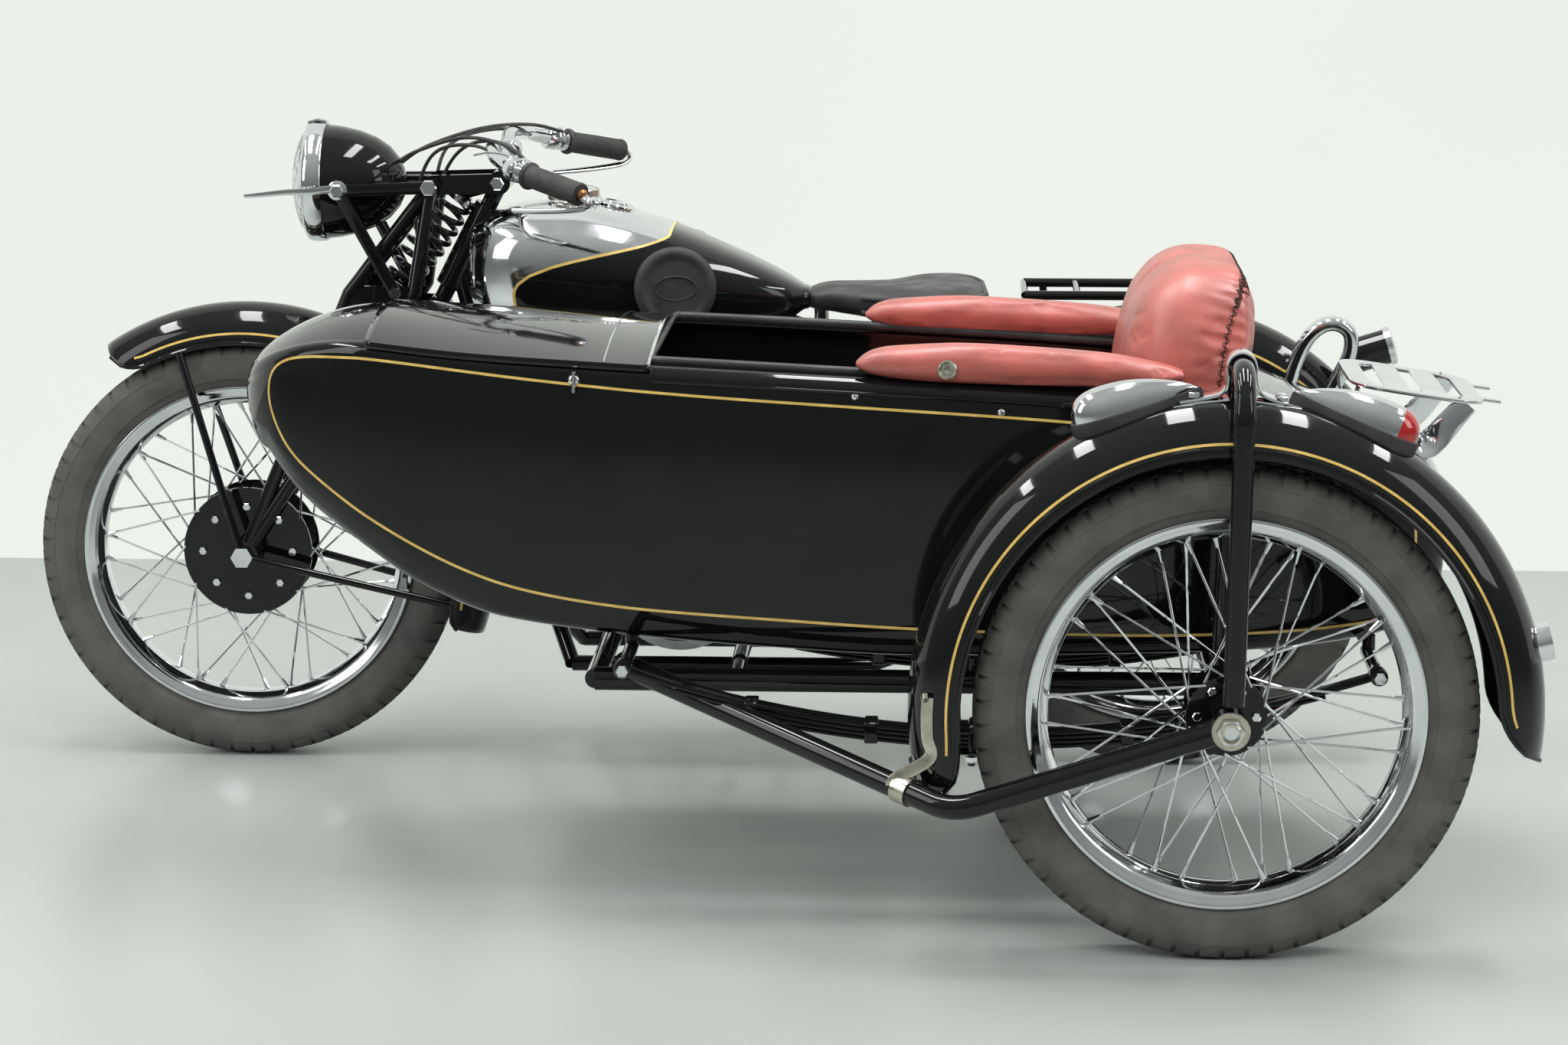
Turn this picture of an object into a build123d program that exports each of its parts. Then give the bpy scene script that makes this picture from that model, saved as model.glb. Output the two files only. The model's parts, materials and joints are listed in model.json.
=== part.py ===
from build123d import *
from collections import namedtuple
from math import cos, hypot, radians, sin, sqrt, tan
import os

# Sidecar motorcycle with girder fork, rigid rear frame and a one-seat sidecar on its left.
# Millimetres. The helper at() counts x forward from the rear axle, y to the left from the
# motorcycle's mid-plane and z up from the ground.

# Wheels
WHEELBASE = 1410.0
TRACK = 1066.0
SIDE_LEAD = -40.0
TYRE_R = 326.0
TYRE_HALF = 44.0
RIM_R = 257.0
RIM_HALF = 31.0
RIM_FLANGE = 4.0
RIM_SEAT_R = 243.0
RIM_WELL_R = 228.0
RIM_WELL_HALF = 12.0
SPOKE_COUNT = 40
SPOKE_R = 1.7
AXLE_R = 10.0
HUB_BOSS_R = 22.0
HUB_FLANGE = 5.0
RUN_CLEAR = 0.05
SIDE_PLAY = 2.0
NUT_R = 17.0
NUT_H = 12.0

# Steering and fork
RAKE = 27.0
TRAIL = 61.0
STEM_R = 13.0
HEAD_R = 21.0
HEAD_LOW_Z = 738.0
HEAD_HIGH_Z = 862.0
LUG_R = 18.0
FORK_TUBE_R = 11.0
FORK_LUG_H = 24.0
LINK_Y = 40.0
LINK_LEN = 100.0
LINK_T = 8.0
SPINDLE_R = 8.0
HIGH_LINK_Z = 900.0
LOW_LINK_Z = 706.0
SPRING_COIL_R = 20.0
SPRING_WIRE_R = 4.0
SPRING_TURNS = 8

# Controls and lamps
BAR_R = 11.0
GRIP_R = 16.0
BAR_END_Y = 355.0
LAMP_R = 92.0
LAMP_X = -120.0
LAMP_Z = 898.0
LAMP_DEPTH = 132.0

# Mudguards
GUARD_T = 3.0
FRONT_GUARD_R = 386.0
REAR_GUARD_R = 392.0
SIDE_GUARD_R = 410.0

# Frame and engine
TUBE_R = 16.0
STAY_R = 10.0
TANK_HALF = 135.0
CRANK_HALF = 78.0
FIN_COUNT = 8

# Sidecar: the body fills the room between its inner side and the leg of the wheel hoop
BODY_IN = 305.0
HOOP_SET = 101.0
HOOP_GAP = 110.0
HOOP_IN = TRACK - HOOP_SET
BODY_HALF = (HOOP_IN - HOOP_GAP - BODY_IN) / 2
BODY_Y = BODY_IN + BODY_HALF
BODY_WALL = 4.0
CHASSIS_Z = 300.0
OUTER_TUBE = 105.0
OUTER_TUBE_R = 16.0
REFLECTOR_END = 460.0

# Place of the motorcycle in the shared frame: the origin is under the middle of the bounding box.
GRIP_DROP = (-93.0, 80.0, -23.0)
GRIP_DIR = Vector(*GRIP_DROP).normalized()
RIGHT_REACH = BAR_END_Y + GRIP_R * sqrt(1 - GRIP_DIR.Y**2)
LEFT_REACH = TRACK + OUTER_TUBE + OUTER_TUBE_R + NUT_H
REAR_X = -(WHEELBASE + TYRE_R - REFLECTOR_END) / 2
BIKE_Y = -(LEFT_REACH - RIGHT_REACH) / 2
UP = Vector(0, 0, 1)
LEFT = Vector(0, 1, 0)


def at(x, y, z):
    """Point x ahead of the rear axle, y left of the motorcycle's mid-plane, z above ground."""
    return Vector(REAR_X + x, BIKE_Y + y, z)


def fore(x, y, z):
    """Point x ahead of the front axle, y left of the motorcycle's mid-plane, z above ground."""
    return at(WHEELBASE + x, y, z)


def side(y=0.0):
    """Upright lengthwise plane: sketch x runs forward, sketch y up, the normal to the right."""
    return Plane(origin=at(0, y, 0), x_dir=(1, 0, 0), z_dir=(0, -1, 0))


def level(y=0.0, z=0.0):
    """Level plane: sketch x runs forward, sketch y to the left."""
    return Plane(origin=at(0, y, z))


def facing(start, along):
    """Plane at a point, with its normal along a direction."""
    return Plane(origin=start, z_dir=along)


def radial(x, y, angle):
    """Plane through a wheel's axle: sketch x runs left, sketch y out along the angle above forward."""
    turn = radians(angle)
    return Plane(origin=at(x, y, TYRE_R), x_dir=(0, 1, 0), z_dir=(sin(turn), 0, -cos(turn)))


def axle_axis(x, y):
    """Axis of a wheel."""
    return Axis(at(x, y, TYRE_R), (0, 1, 0))


def head_x(z):
    """How far forward the steering axis is at a height."""
    return WHEELBASE + TRAIL - z * tan(radians(RAKE))


def tube(points, radius, bend=0.0):
    """Round bar along a path of straight lines, with bends where asked."""
    with BuildLine() as path:
        if bend:
            FilletPolyline(*points, radius=bend)
        else:
            Polyline(*points)
    with BuildSketch(facing(points[0], points[1] - points[0])) as section:
        Circle(radius)
    sweep(section.sketch, path.line, transition=Transition.ROUND)


def rod(start, end, radius, mode=Mode.ADD):
    """Straight round bar between two points, or a hole in its place."""
    with BuildSketch(facing(start, end - start)) as section:
        Circle(radius)
    extrude(section.sketch, amount=(end - start).length, mode=mode)


def plate(points, left_face, thickness):
    """Flat lengthwise plate through corner points (x, z), from its left face to the right."""
    with BuildSketch(side(left_face)) as outline:
        with BuildLine():
            Polyline(*points, close=True)
        make_face()
    extrude(outline.sketch, amount=thickness)


def link(start, end, left_face, radius, thickness):
    """Flat lengthwise strip with round ends over two points (x, z)."""
    run = Vector(end[0] - start[0], 0, end[1] - start[1])
    middle = at((start[0] + end[0]) / 2, left_face, (start[1] + end[1]) / 2)
    with BuildSketch(Plane(origin=middle, x_dir=run, z_dir=(0, -1, 0))) as outline:
        SlotCenterToCenter(run.length, 2 * radius)
    extrude(outline.sketch, amount=thickness)


def both_sides(points):
    """The path and its mirror image about the motorcycle's mid-plane."""
    return [points, [Vector(p.X, 2 * BIKE_Y - p.Y, p.Z) for p in points]]


def guard_section(crown_r, edge_r, half):
    """Crowned sheet section of a mudguard, to be drawn on a radial plane."""
    with BuildLine() as outline:
        ThreePointArc((-half, edge_r), (0, crown_r), (half, edge_r))
        Line((half, edge_r), (half - GUARD_T, edge_r))
        ThreePointArc((half - GUARD_T, edge_r), (0, crown_r - GUARD_T), (GUARD_T - half, edge_r))
        Line((GUARD_T - half, edge_r), (-half, edge_r))
    make_face(outline.edges())


os.makedirs("parts", exist_ok=True)

# Wheels: tyre, rim, crossed spokes and hub, alike but for the hub
Wheel = namedtuple("Wheel", "name x y drum_r flange_r flange_y boss_half lace")
WHEELS = [
    Wheel("front", WHEELBASE, 0.0, 92.0, 100.0, 36.0, 60.0, 36.0),
    Wheel("rear", 0.0, 0.0, 84.0, 92.0, 36.0, 66.0, 36.0),
    Wheel("sidecar", SIDE_LEAD, TRACK, 30.0, 52.0, 34.0, 70.0, 52.0),
]
SEAT_HALF = RIM_HALF - RIM_FLANGE
RIM_SECTION = [
    (-RIM_HALF, RIM_R),
    (-SEAT_HALF, RIM_R),
    (-SEAT_HALF, RIM_SEAT_R),
    (SEAT_HALF, RIM_SEAT_R),
    (SEAT_HALF, RIM_R),
    (RIM_HALF, RIM_R),
    (RIM_HALF, RIM_SEAT_R - RIM_FLANGE),
    (RIM_WELL_HALF, RIM_WELL_R),
    (-RIM_WELL_HALF, RIM_WELL_R),
    (-RIM_HALF, RIM_SEAT_R - RIM_FLANGE),
]
TREAD_HALF = 38.0
TREAD_DROP = 12.0
SPOKE_SINK = 3.0
SPOKE_HEAD = 1.0
SPOKE_RIM_Y = 6.0
SPOKE_RIM_STEP = 1.6
SPROCKET_R = 88.0
SPROCKET_Y = 54.0
SPROCKET_T = 6.0

for wheel in WHEELS:
    axis = axle_axis(wheel.x, wheel.y)
    upright = radial(wheel.x, wheel.y, 90)

    with BuildPart() as tyre:
        with BuildSketch(upright):
            with BuildLine():
                Polyline(
                    (TREAD_HALF, TYRE_R - TREAD_DROP),
                    (TYRE_HALF, TYRE_R - 36),
                    (TYRE_HALF - 5, RIM_R + 14),
                    (SEAT_HALF, RIM_R + 1),
                    (SEAT_HALF, RIM_SEAT_R),
                    (-SEAT_HALF, RIM_SEAT_R),
                    (-SEAT_HALF, RIM_R + 1),
                    (5 - TYRE_HALF, RIM_R + 14),
                    (-TYRE_HALF, TYRE_R - 36),
                    (-TREAD_HALF, TYRE_R - TREAD_DROP),
                )
                ThreePointArc(
                    (-TREAD_HALF, TYRE_R - TREAD_DROP),
                    (0, TYRE_R),
                    (TREAD_HALF, TYRE_R - TREAD_DROP),
                )
            make_face()
        revolve(axis=axis)
    tyre.part.label = f"{wheel.name}_tyre"
    export_step(tyre.part, f"parts/{wheel.name}_tyre.step")

    with BuildPart() as rim:
        with BuildSketch(upright):
            with BuildLine():
                Polyline(*RIM_SECTION, close=True)
            make_face()
        revolve(axis=axis)
    rim.part.label = f"{wheel.name}_rim"
    export_step(rim.part, f"parts/{wheel.name}_rim.step")

    with BuildPart() as spokes:
        for lead in (1, -1):
            runs = []
            for n in range(SPOKE_COUNT // 2):
                hand = 1 if n % 2 == 0 else -1
                rim_turn = radians((2 * n - n % 2 + lead / 2) * 360 / SPOKE_COUNT)
                hub_turn = rim_turn + lead * radians(wheel.lace)
                hub_y = wheel.flange_y + lead * (HUB_FLANGE / 2 + SPOKE_HEAD)
                rim_y = SPOKE_RIM_Y + lead * SPOKE_RIM_STEP
                hub_r = wheel.flange_r - SPOKE_SINK
                rim_r = RIM_WELL_R + SPOKE_SINK
                inner = at(wheel.x, wheel.y + hand * hub_y, TYRE_R)
                inner += Vector(hub_r * cos(hub_turn), 0, hub_r * sin(hub_turn))
                outer = at(wheel.x, wheel.y + hand * rim_y, TYRE_R)
                outer += Vector(rim_r * cos(rim_turn), 0, rim_r * sin(rim_turn))
                runs.append((inner, outer - inner))
            with BuildSketch(*[facing(start, run) for start, run in runs]):
                RegularPolygon(SPOKE_R, 6)
            extrude(amount=runs[0][1].length)
    spokes.part.label = f"{wheel.name}_spokes"
    export_step(spokes.part, f"parts/{wheel.name}_spokes.step")

    with BuildPart() as hub:
        with BuildSketch(upright):
            with BuildLine():
                edge = wheel.flange_y + HUB_FLANGE / 2
                web = wheel.flange_y - HUB_FLANGE / 2
                right_half = [
                    (wheel.boss_half, AXLE_R + RUN_CLEAR),
                    (wheel.boss_half, HUB_BOSS_R),
                    (edge, HUB_BOSS_R),
                    (edge, wheel.flange_r),
                    (web, wheel.flange_r),
                    (web, wheel.drum_r),
                ]
                left_half = [(-y, r) for y, r in reversed(right_half)]
                Polyline(*right_half, *left_half, close=True)
            make_face()
        revolve(axis=axis)
        if wheel.name == "rear":
            with BuildSketch(side(SPROCKET_Y + SPROCKET_T / 2)):
                with Locations((0, TYRE_R)):
                    Circle(SPROCKET_R)
                    Circle(HUB_BOSS_R, mode=Mode.SUBTRACT)
            extrude(amount=SPROCKET_T)
    hub.part.label = f"{wheel.name}_hub"
    export_step(hub.part, f"parts/{wheel.name}_hub.step")

# Axles with a nut at each end
FRONT_LUG_Y = WHEELS[0].boss_half + SIDE_PLAY
REAR_LUG_Y = WHEELS[1].boss_half + SIDE_PLAY
REAR_LUG_T = 2 * STAY_R + 2
SIDE_BEAM_Y = TRACK - WHEELS[2].boss_half - SIDE_PLAY
Axle = namedtuple("Axle", "name x right left")
AXLES = [
    Axle("front", WHEELBASE, -FRONT_LUG_Y - FORK_LUG_H, FRONT_LUG_Y + FORK_LUG_H),
    Axle("rear", 0.0, -REAR_LUG_Y - REAR_LUG_T, REAR_LUG_Y + REAR_LUG_T),
    Axle("sidecar", SIDE_LEAD, SIDE_BEAM_Y - 60, TRACK + OUTER_TUBE + OUTER_TUBE_R),
]
for axle in AXLES:
    with BuildPart() as shaft:
        rod(at(axle.x, axle.right - NUT_H, TYRE_R), at(axle.x, axle.left + NUT_H, TYRE_R), AXLE_R)
        nuts = [side(axle.left + NUT_H)]
        if axle.name != "sidecar":
            nuts.append(side(axle.right))
        with BuildSketch(*nuts):
            with Locations((axle.x, TYRE_R)):
                RegularPolygon(NUT_R, 6)
        extrude(amount=NUT_H)
    shaft.part.label = f"{axle.name}_axle"
    export_step(shaft.part, f"parts/{axle.name}_axle.step")

# Steering stem: shaft in the head tube, a lug for the links at each end and the spring's upper seat
STEM_UP = Vector(-sin(radians(RAKE)), 0, cos(radians(RAKE)))
LUG_HALF = LINK_Y - LINK_T / 2
STEM_RISE = 42.0
SEAT_R = 24.0
SEAT_T = 6.0
SPRING_TOP = (-330.0, 880.0)
SPRING_FOOT = (-234.0, 744.0)
high_lug = at(head_x(HIGH_LINK_Z), 0, HIGH_LINK_Z)
low_lug = at(head_x(LOW_LINK_Z), 0, LOW_LINK_Z)
spring_top = fore(SPRING_TOP[0], 0, SPRING_TOP[1])
spring_foot = fore(SPRING_FOOT[0], 0, SPRING_FOOT[1])
spring_run = (spring_foot - spring_top).normalized()

# Links: a pair of plates above and a pair below, with their spindles, on the stem
LINK_R = 15.0
LINK_DROP = 3.0
SPINDLE_END = 82.0
high_pin = high_lug + Vector(LINK_LEN, 0, -LINK_DROP)
low_pin = low_lug + Vector(LINK_LEN, 0, -LINK_DROP)
with BuildPart() as links:
    rod(low_lug, high_lug + STEM_UP * STEM_RISE, STEM_R)
    rod(high_lug, spring_top - spring_run * SEAT_T / 2, STEM_R)
    rod(spring_top - spring_run * SEAT_T, spring_top, SEAT_R)
    for lug, pin in ((high_lug, high_pin), (low_lug, low_pin)):
        rod(lug - LEFT * LUG_HALF, lug + LEFT * LUG_HALF, LUG_R)
        for y in (-LINK_Y, LINK_Y):
            start = (lug.X - REAR_X, lug.Z)
            end = (pin.X - REAR_X, pin.Z)
            link(start, end, y + LINK_T / 2, LINK_R, LINK_T)
        rod(pin - LEFT * SPINDLE_END, pin + LEFT * SPINDLE_END, SPINDLE_R)
links.part.label = "steering_links"
export_step(links.part, "parts/steering_links.step")

# Girder: front and rear tube on each side, meeting at the top pin and at the axle lug
FORK_Y = FRONT_LUG_Y + FORK_LUG_H / 2
FORK_TOP_Y = 58.0
FORK_LUG_R = 24.0
FORK_PLATE_T = 8.0
FORK_FRONT = (-172.0, 735.0)
FORK_REAR = (-271.0, 735.0)
FORK_PLATE = [(-274.0, 746.0), (-176.0, 746.0), (-152.0, 688.0), (-238.0, 688.0)]
GUARD_LUG_R = 9.0
SEAT_SINK = 2.0
crown_share = FRONT_GUARD_R / hypot(FORK_FRONT[0], FORK_FRONT[1] - TYRE_R)
crown = fore(FORK_FRONT[0] * crown_share, 0, TYRE_R + (FORK_FRONT[1] - TYRE_R) * crown_share)
with BuildPart() as girder:
    for hand in (-1, 1):
        top = high_pin + LEFT * hand * FORK_TOP_Y
        foot = at(WHEELBASE, hand * FORK_Y, TYRE_R)
        for middle in (FORK_FRONT, FORK_REAR):
            tube([top, fore(middle[0], hand * FORK_Y, middle[1]), foot], FORK_TUBE_R)
        rod(foot - LEFT * FORK_LUG_H / 2, foot + LEFT * FORK_LUG_H / 2, FORK_LUG_R)
        corners = [(WHEELBASE + x, z) for x, z in FORK_PLATE]
        plate(corners, hand * FORK_Y + FORK_PLATE_T / 2, FORK_PLATE_T)
    front = fore(FORK_FRONT[0], 0, FORK_FRONT[1])
    rod(front - LEFT * FORK_Y, front + LEFT * FORK_Y, GUARD_LUG_R)
    rod(front, crown, GUARD_LUG_R)
    seat = spring_foot + spring_run * (SEAT_T + GUARD_LUG_R - SEAT_SINK)
    rod(seat - LEFT * FORK_Y, seat + LEFT * FORK_Y, GUARD_LUG_R)
    rod(spring_foot, spring_foot + spring_run * SEAT_T, SEAT_R)
    axle_end = LEFT * (FORK_Y + FORK_LUG_H)
    axle_mid = at(WHEELBASE, 0, TYRE_R)
    rod(axle_mid - axle_end, axle_mid + axle_end, AXLE_R, Mode.SUBTRACT)
girder.part.label = "girder"
export_step(girder.part, "parts/girder.step")

# Fork spring between its seats
spring_height = (spring_foot - spring_top).length - 2 * SPRING_WIRE_R
with BuildPart() as spring:
    with BuildLine() as coil:
        Helix(
            spring_height / SPRING_TURNS,
            spring_height,
            SPRING_COIL_R,
            center=spring_top + spring_run * SPRING_WIRE_R,
            direction=spring_run,
        )
    with BuildSketch(facing(coil.line @ 0, coil.line % 0)):
        Circle(SPRING_WIRE_R)
    sweep(is_frenet=True)
spring.part.label = "fork_spring"
export_step(spring.part, "parts/fork_spring.step")

# Handlebar, grips and the reversed levers at the bar's ends
GRIP_START = (-462.0, 275.0, 938.0)
BAR_SHOULDER = (-420.0, 215.0, 955.0)
BAR_CROWN = (-398.0, 110.0, 962.0)
BAR_CLAMP = (-411.0, 34.0, 940.0)
BAR_BEND = 20.0
GRIP_BARE = 0.08
LEVER_R = 5.0
LEVER_SINK = 12.0
LEVER_RISE = 9.0
LEVER_BEND = (-548.0, 359.0, 878.0)
LEVER_TIP = (-450.0, 312.0, 892.0)
grip_start = fore(*GRIP_START)
grip_end = grip_start + GRIP_DIR * (BAR_END_Y - GRIP_START[1]) / GRIP_DIR.Y
half_bar = [
    grip_end,
    grip_start,
    fore(*BAR_SHOULDER),
    fore(*BAR_CROWN),
    fore(*BAR_CLAMP),
]
mirror_bar = [Vector(p.X, 2 * BIKE_Y - p.Y, p.Z) for p in reversed(half_bar)]
lever_path = [
    grip_end - GRIP_DIR * LEVER_SINK,
    grip_end + GRIP_DIR * LEVER_RISE,
    fore(*LEVER_BEND),
    fore(*LEVER_TIP),
]
with BuildPart() as handlebar:
    tube([*half_bar, *mirror_bar], BAR_R, BAR_BEND)
    for path in both_sides(lever_path):
        tube(path, LEVER_R)
handlebar.part.label = "handlebar"
export_step(handlebar.part, "parts/handlebar.step")

with BuildPart() as grips:
    for start, end in both_sides([grip_start, grip_end]):
        rod(start + (end - start) * GRIP_BARE, end, GRIP_R)
        rod(start, end, BAR_R, Mode.SUBTRACT)
grips.part.label = "grips"
export_step(grips.part, "parts/grips.step")

# Headlamp: shell, rim and lens turned about a level lengthwise axis, and its four-bar bracket
SHELL_T = 4.0
SHELL_R = LAMP_R - 6
LENS_R = SHELL_R - SHELL_T
LENS_RISE = 40.0
LENS_T = 5.0
RIM_DEPTH = 18.0
RIM_BACK = 12.0
RIM_LIP = 6.0
RIM_PLAY = 1.0
RIM_ROLL = 5.0
lamp_axis = Axis(at(0, 0, LAMP_Z), (1, 0, 0))
lamp_plane = Plane(origin=fore(LAMP_X, 0, LAMP_Z), x_dir=(1, 0, 0), z_dir=(0, -1, 0))


def bowl(reach, radius, mode):
    """Solid turned about the lamp's axis, domed from a flat face to its far end."""
    with BuildSketch(lamp_plane) as section:
        with BuildLine():
            start = 90 if reach < 0 else 0
            dome = EllipticalCenterArc((0, 0), abs(reach), radius, start, arc_size=90)
            Polyline(dome @ 0, (0, 0), dome @ 1)
        make_face()
    revolve(section.sketch, axis=lamp_axis, mode=mode)


with BuildPart() as shell:
    bowl(-LAMP_DEPTH, SHELL_R, Mode.ADD)
    bowl(SHELL_T - LAMP_DEPTH, LENS_R, Mode.SUBTRACT)
shell.part.label = "headlamp_shell"
export_step(shell.part, "parts/headlamp_shell.step")

with BuildPart() as lamp_rim:
    with BuildSketch(lamp_plane):
        with BuildLine():
            Polyline(
                (0, LENS_R),
                (0, SHELL_R),
                (-RIM_BACK, SHELL_R + RIM_PLAY),
                (-RIM_BACK, LAMP_R - RIM_PLAY),
                (RIM_LIP, LAMP_R),
                (RIM_DEPTH, LAMP_R - RIM_ROLL),
                (RIM_DEPTH, LENS_R),
                close=True,
            )
        make_face()
    revolve(axis=lamp_axis)
lamp_rim.part.label = "headlamp_rim"
export_step(lamp_rim.part, "parts/headlamp_rim.step")

with BuildPart() as lens:
    bowl(LENS_RISE, LENS_R, Mode.ADD)
    bowl(LENS_RISE - LENS_T, LENS_R - LENS_T, Mode.SUBTRACT)
lens.part.label = "headlamp_lens"
export_step(lens.part, "parts/headlamp_lens.step")

LAMP_BOLT = (-160.0, 96.0, 894.0)
LAMP_BOLT_R = 7.0
LAMP_BOLT_SINK = 18.0
LAMP_BAR_R = 6.0
LAMP_BAR_FOOT = (-244.0, 736.0)
LAMP_BAR_OUT = 7.0
with BuildPart() as lamp_bracket:
    for hand in (-1, 1):
        bolt = fore(LAMP_BOLT[0], hand * LAMP_BOLT[1], LAMP_BOLT[2])
        rod(bolt - LEFT * hand * LAMP_BOLT_SINK, bolt, LAMP_BOLT_R)
        rod(bolt, high_pin + LEFT * hand * (SPINDLE_END - LINK_T / 2), LAMP_BAR_R)
        rod(bolt, fore(LAMP_BAR_FOOT[0], hand * (FORK_Y + LAMP_BAR_OUT), LAMP_BAR_FOOT[1]), LAMP_BAR_R)
lamp_bracket.part.label = "headlamp_bracket"
export_step(lamp_bracket.part, "parts/headlamp_bracket.step")

# Mudguards: crowned strips bent round each wheel
Guard = namedtuple("Guard", "name x y crown_r edge_r half rear front")
GUARDS = [
    Guard("front_mudguard", WHEELBASE, 0.0, FRONT_GUARD_R, 328.0, 58.0, 200.0, 56.0),
    Guard("rear_mudguard", 0.0, 0.0, REAR_GUARD_R, 334.0, 60.0, 192.0, 18.0),
    Guard("sidecar_mudguard", SIDE_LEAD, TRACK, SIDE_GUARD_R, 345.0, 76.0, 188.0, -15.0),
]
for guard in GUARDS:
    with BuildPart() as sheet:
        with BuildSketch(radial(guard.x, guard.y, guard.rear)):
            guard_section(guard.crown_r, guard.edge_r, guard.half)
        revolve(axis=axle_axis(guard.x, guard.y), revolution_arc=guard.rear - guard.front)
    sheet.part.label = guard.name
    export_step(sheet.part, f"parts/{guard.name}.step")

# Front mudguard stays, from the axle lugs to the mudguard's edges
GUARD_STAY_R = 6.0
GUARD_STAY_OUT = 3.0
GUARD_STAY_START = 15.0
GUARD_STAY_TURNS = (73.0, 194.0)
with BuildPart() as front_stays:
    for hand in (-1, 1):
        lug = fore(0, hand * (FORK_Y + FORK_LUG_H / 2 + GUARD_STAY_OUT), TYRE_R)
        edge = fore(0, hand * GUARDS[0].half, TYRE_R)
        for angle in GUARD_STAY_TURNS:
            turn = radians(angle)
            out = Vector(cos(turn), 0, sin(turn))
            rod(lug + out * GUARD_STAY_START, edge + out * GUARDS[0].edge_r, GUARD_STAY_R)
front_stays.part.label = "front_stays"
export_step(front_stays.part, "parts/front_stays.step")

# Frame: head, top tube, down tube, cradle, seat tube, stays to the rear axle and footrests
SEAT_LUG = (405.0, 660.0)
TOP_TUBE_Z = 832.0
TOP_TUBE_DROP = 30.0
DOWN_TOP_Z = 772.0
DOWN_FOOT = (940.0, 236.0)
CRADLE_Z = 165.0
CRADLE_Y = 92.0
CRADLE_R = 12.0
CRADLE_FRONT_X = 900.0
STAY_DROP = 12.0
STAY_BEND = (60.0, 40.0)
FOOTREST_X = 640.0
FOOTREST_Z = CRADLE_Z + 12
FOOTREST_BAR_R = 13.0
FOOTREST_SHOULDER = 130.0
FOOTREST_R = 10.0
FOOTREST_END = 235.0
HEAD_CUT = 5.0
STAY_Y = REAR_LUG_Y + REAR_LUG_T / 2
BRACKET_X = 440.0
REAR_LUG_R = 24.0
head_low = at(head_x(HEAD_LOW_Z), 0, HEAD_LOW_Z)
head_high = at(head_x(HEAD_HIGH_Z), 0, HEAD_HIGH_Z)
with BuildPart() as frame:
    rod(head_low, head_high, HEAD_R)
    rod(at(head_x(TOP_TUBE_Z), 0, TOP_TUBE_Z), at(SEAT_LUG[0], 0, SEAT_LUG[1] - TOP_TUBE_DROP), TUBE_R)
    rod(at(head_x(DOWN_TOP_Z), 0, DOWN_TOP_Z), at(DOWN_FOOT[0], 0, DOWN_FOOT[1]), TUBE_R)
    rod(at(SEAT_LUG[0], 0, SEAT_LUG[1]), at(BRACKET_X, 0, CRADLE_Z), TUBE_R)
    rod(at(BRACKET_X, -CRADLE_Y, CRADLE_Z), at(BRACKET_X, CRADLE_Y, CRADLE_Z), TUBE_R)
    for hand in (-1, 1):
        tube(
            [
                at(DOWN_FOOT[0], 0, DOWN_FOOT[1] + 2),
                at(CRADLE_FRONT_X, hand * CRADLE_Y, CRADLE_Z),
                at(BRACKET_X, hand * CRADLE_Y, CRADLE_Z),
            ],
            CRADLE_R,
        )
        rod(at(BRACKET_X, hand * CRADLE_Y, CRADLE_Z), at(0, hand * STAY_Y, TYRE_R), STAY_R)
        tube(
            [
                at(SEAT_LUG[0], 0, SEAT_LUG[1] - STAY_DROP),
                at(SEAT_LUG[0] - STAY_BEND[0], hand * STAY_Y, SEAT_LUG[1] - STAY_BEND[1]),
                at(0, hand * STAY_Y, TYRE_R),
            ],
            STAY_R,
        )
        lug = at(0, hand * STAY_Y, TYRE_R)
        rod(lug - LEFT * REAR_LUG_T / 2, lug + LEFT * REAR_LUG_T / 2, REAR_LUG_R)
    footrest = at(FOOTREST_X, 0, FOOTREST_Z)
    rod(footrest - LEFT * FOOTREST_SHOULDER, footrest + LEFT * FOOTREST_SHOULDER, FOOTREST_BAR_R)
    rod(footrest - LEFT * FOOTREST_END, footrest + LEFT * FOOTREST_END, FOOTREST_R)
    rod(head_low - STEM_UP * HEAD_CUT, head_high + STEM_UP * HEAD_CUT, STEM_R + RUN_CLEAR, Mode.SUBTRACT)
    lug_reach = LEFT * (STAY_Y + REAR_LUG_T)
    rear_mid = at(0, 0, TYRE_R)
    rod(rear_mid - lug_reach, rear_mid + lug_reach, AXLE_R, Mode.SUBTRACT)
frame.part.label = "frame"
export_step(frame.part, "parts/frame.step")

# Engine: crankcase with timing cover and magneto, finned cylinder, carburettor
CRANK = (735.0, 296.0)
CRANK_R = 112.0
CYLINDER_X = 745.0
CYLINDER_Z = 416.0
HEAD_TOP_Z = 652.0
FIN_SIZE = (150.0, 140.0)
FIN_T = 5.0
with BuildPart() as crankcase:
    with BuildSketch(side(CRANK_HALF)):
        with Locations(CRANK):
            Circle(CRANK_R)
    extrude(amount=2 * CRANK_HALF)
    link(CRANK, (850.0, 332.0), -CRANK_HALF, 58.0, 22.0)
    with BuildSketch(level(0, CRANK[1])):
        with Locations((CYLINDER_X, 0)):
            RectangleRounded(120, 120, 20)
    extrude(amount=CYLINDER_Z - CRANK[1])
    rod(at(622, -60, 392), at(622, 40, 392), 42)
    plate([(800.0, 250.0), (942.0, 222.0), (950.0, 270.0), (830.0, 330.0)], 9.0, 18.0)
crankcase.part.label = "crankcase"
export_step(crankcase.part, "parts/crankcase.step")

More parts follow.
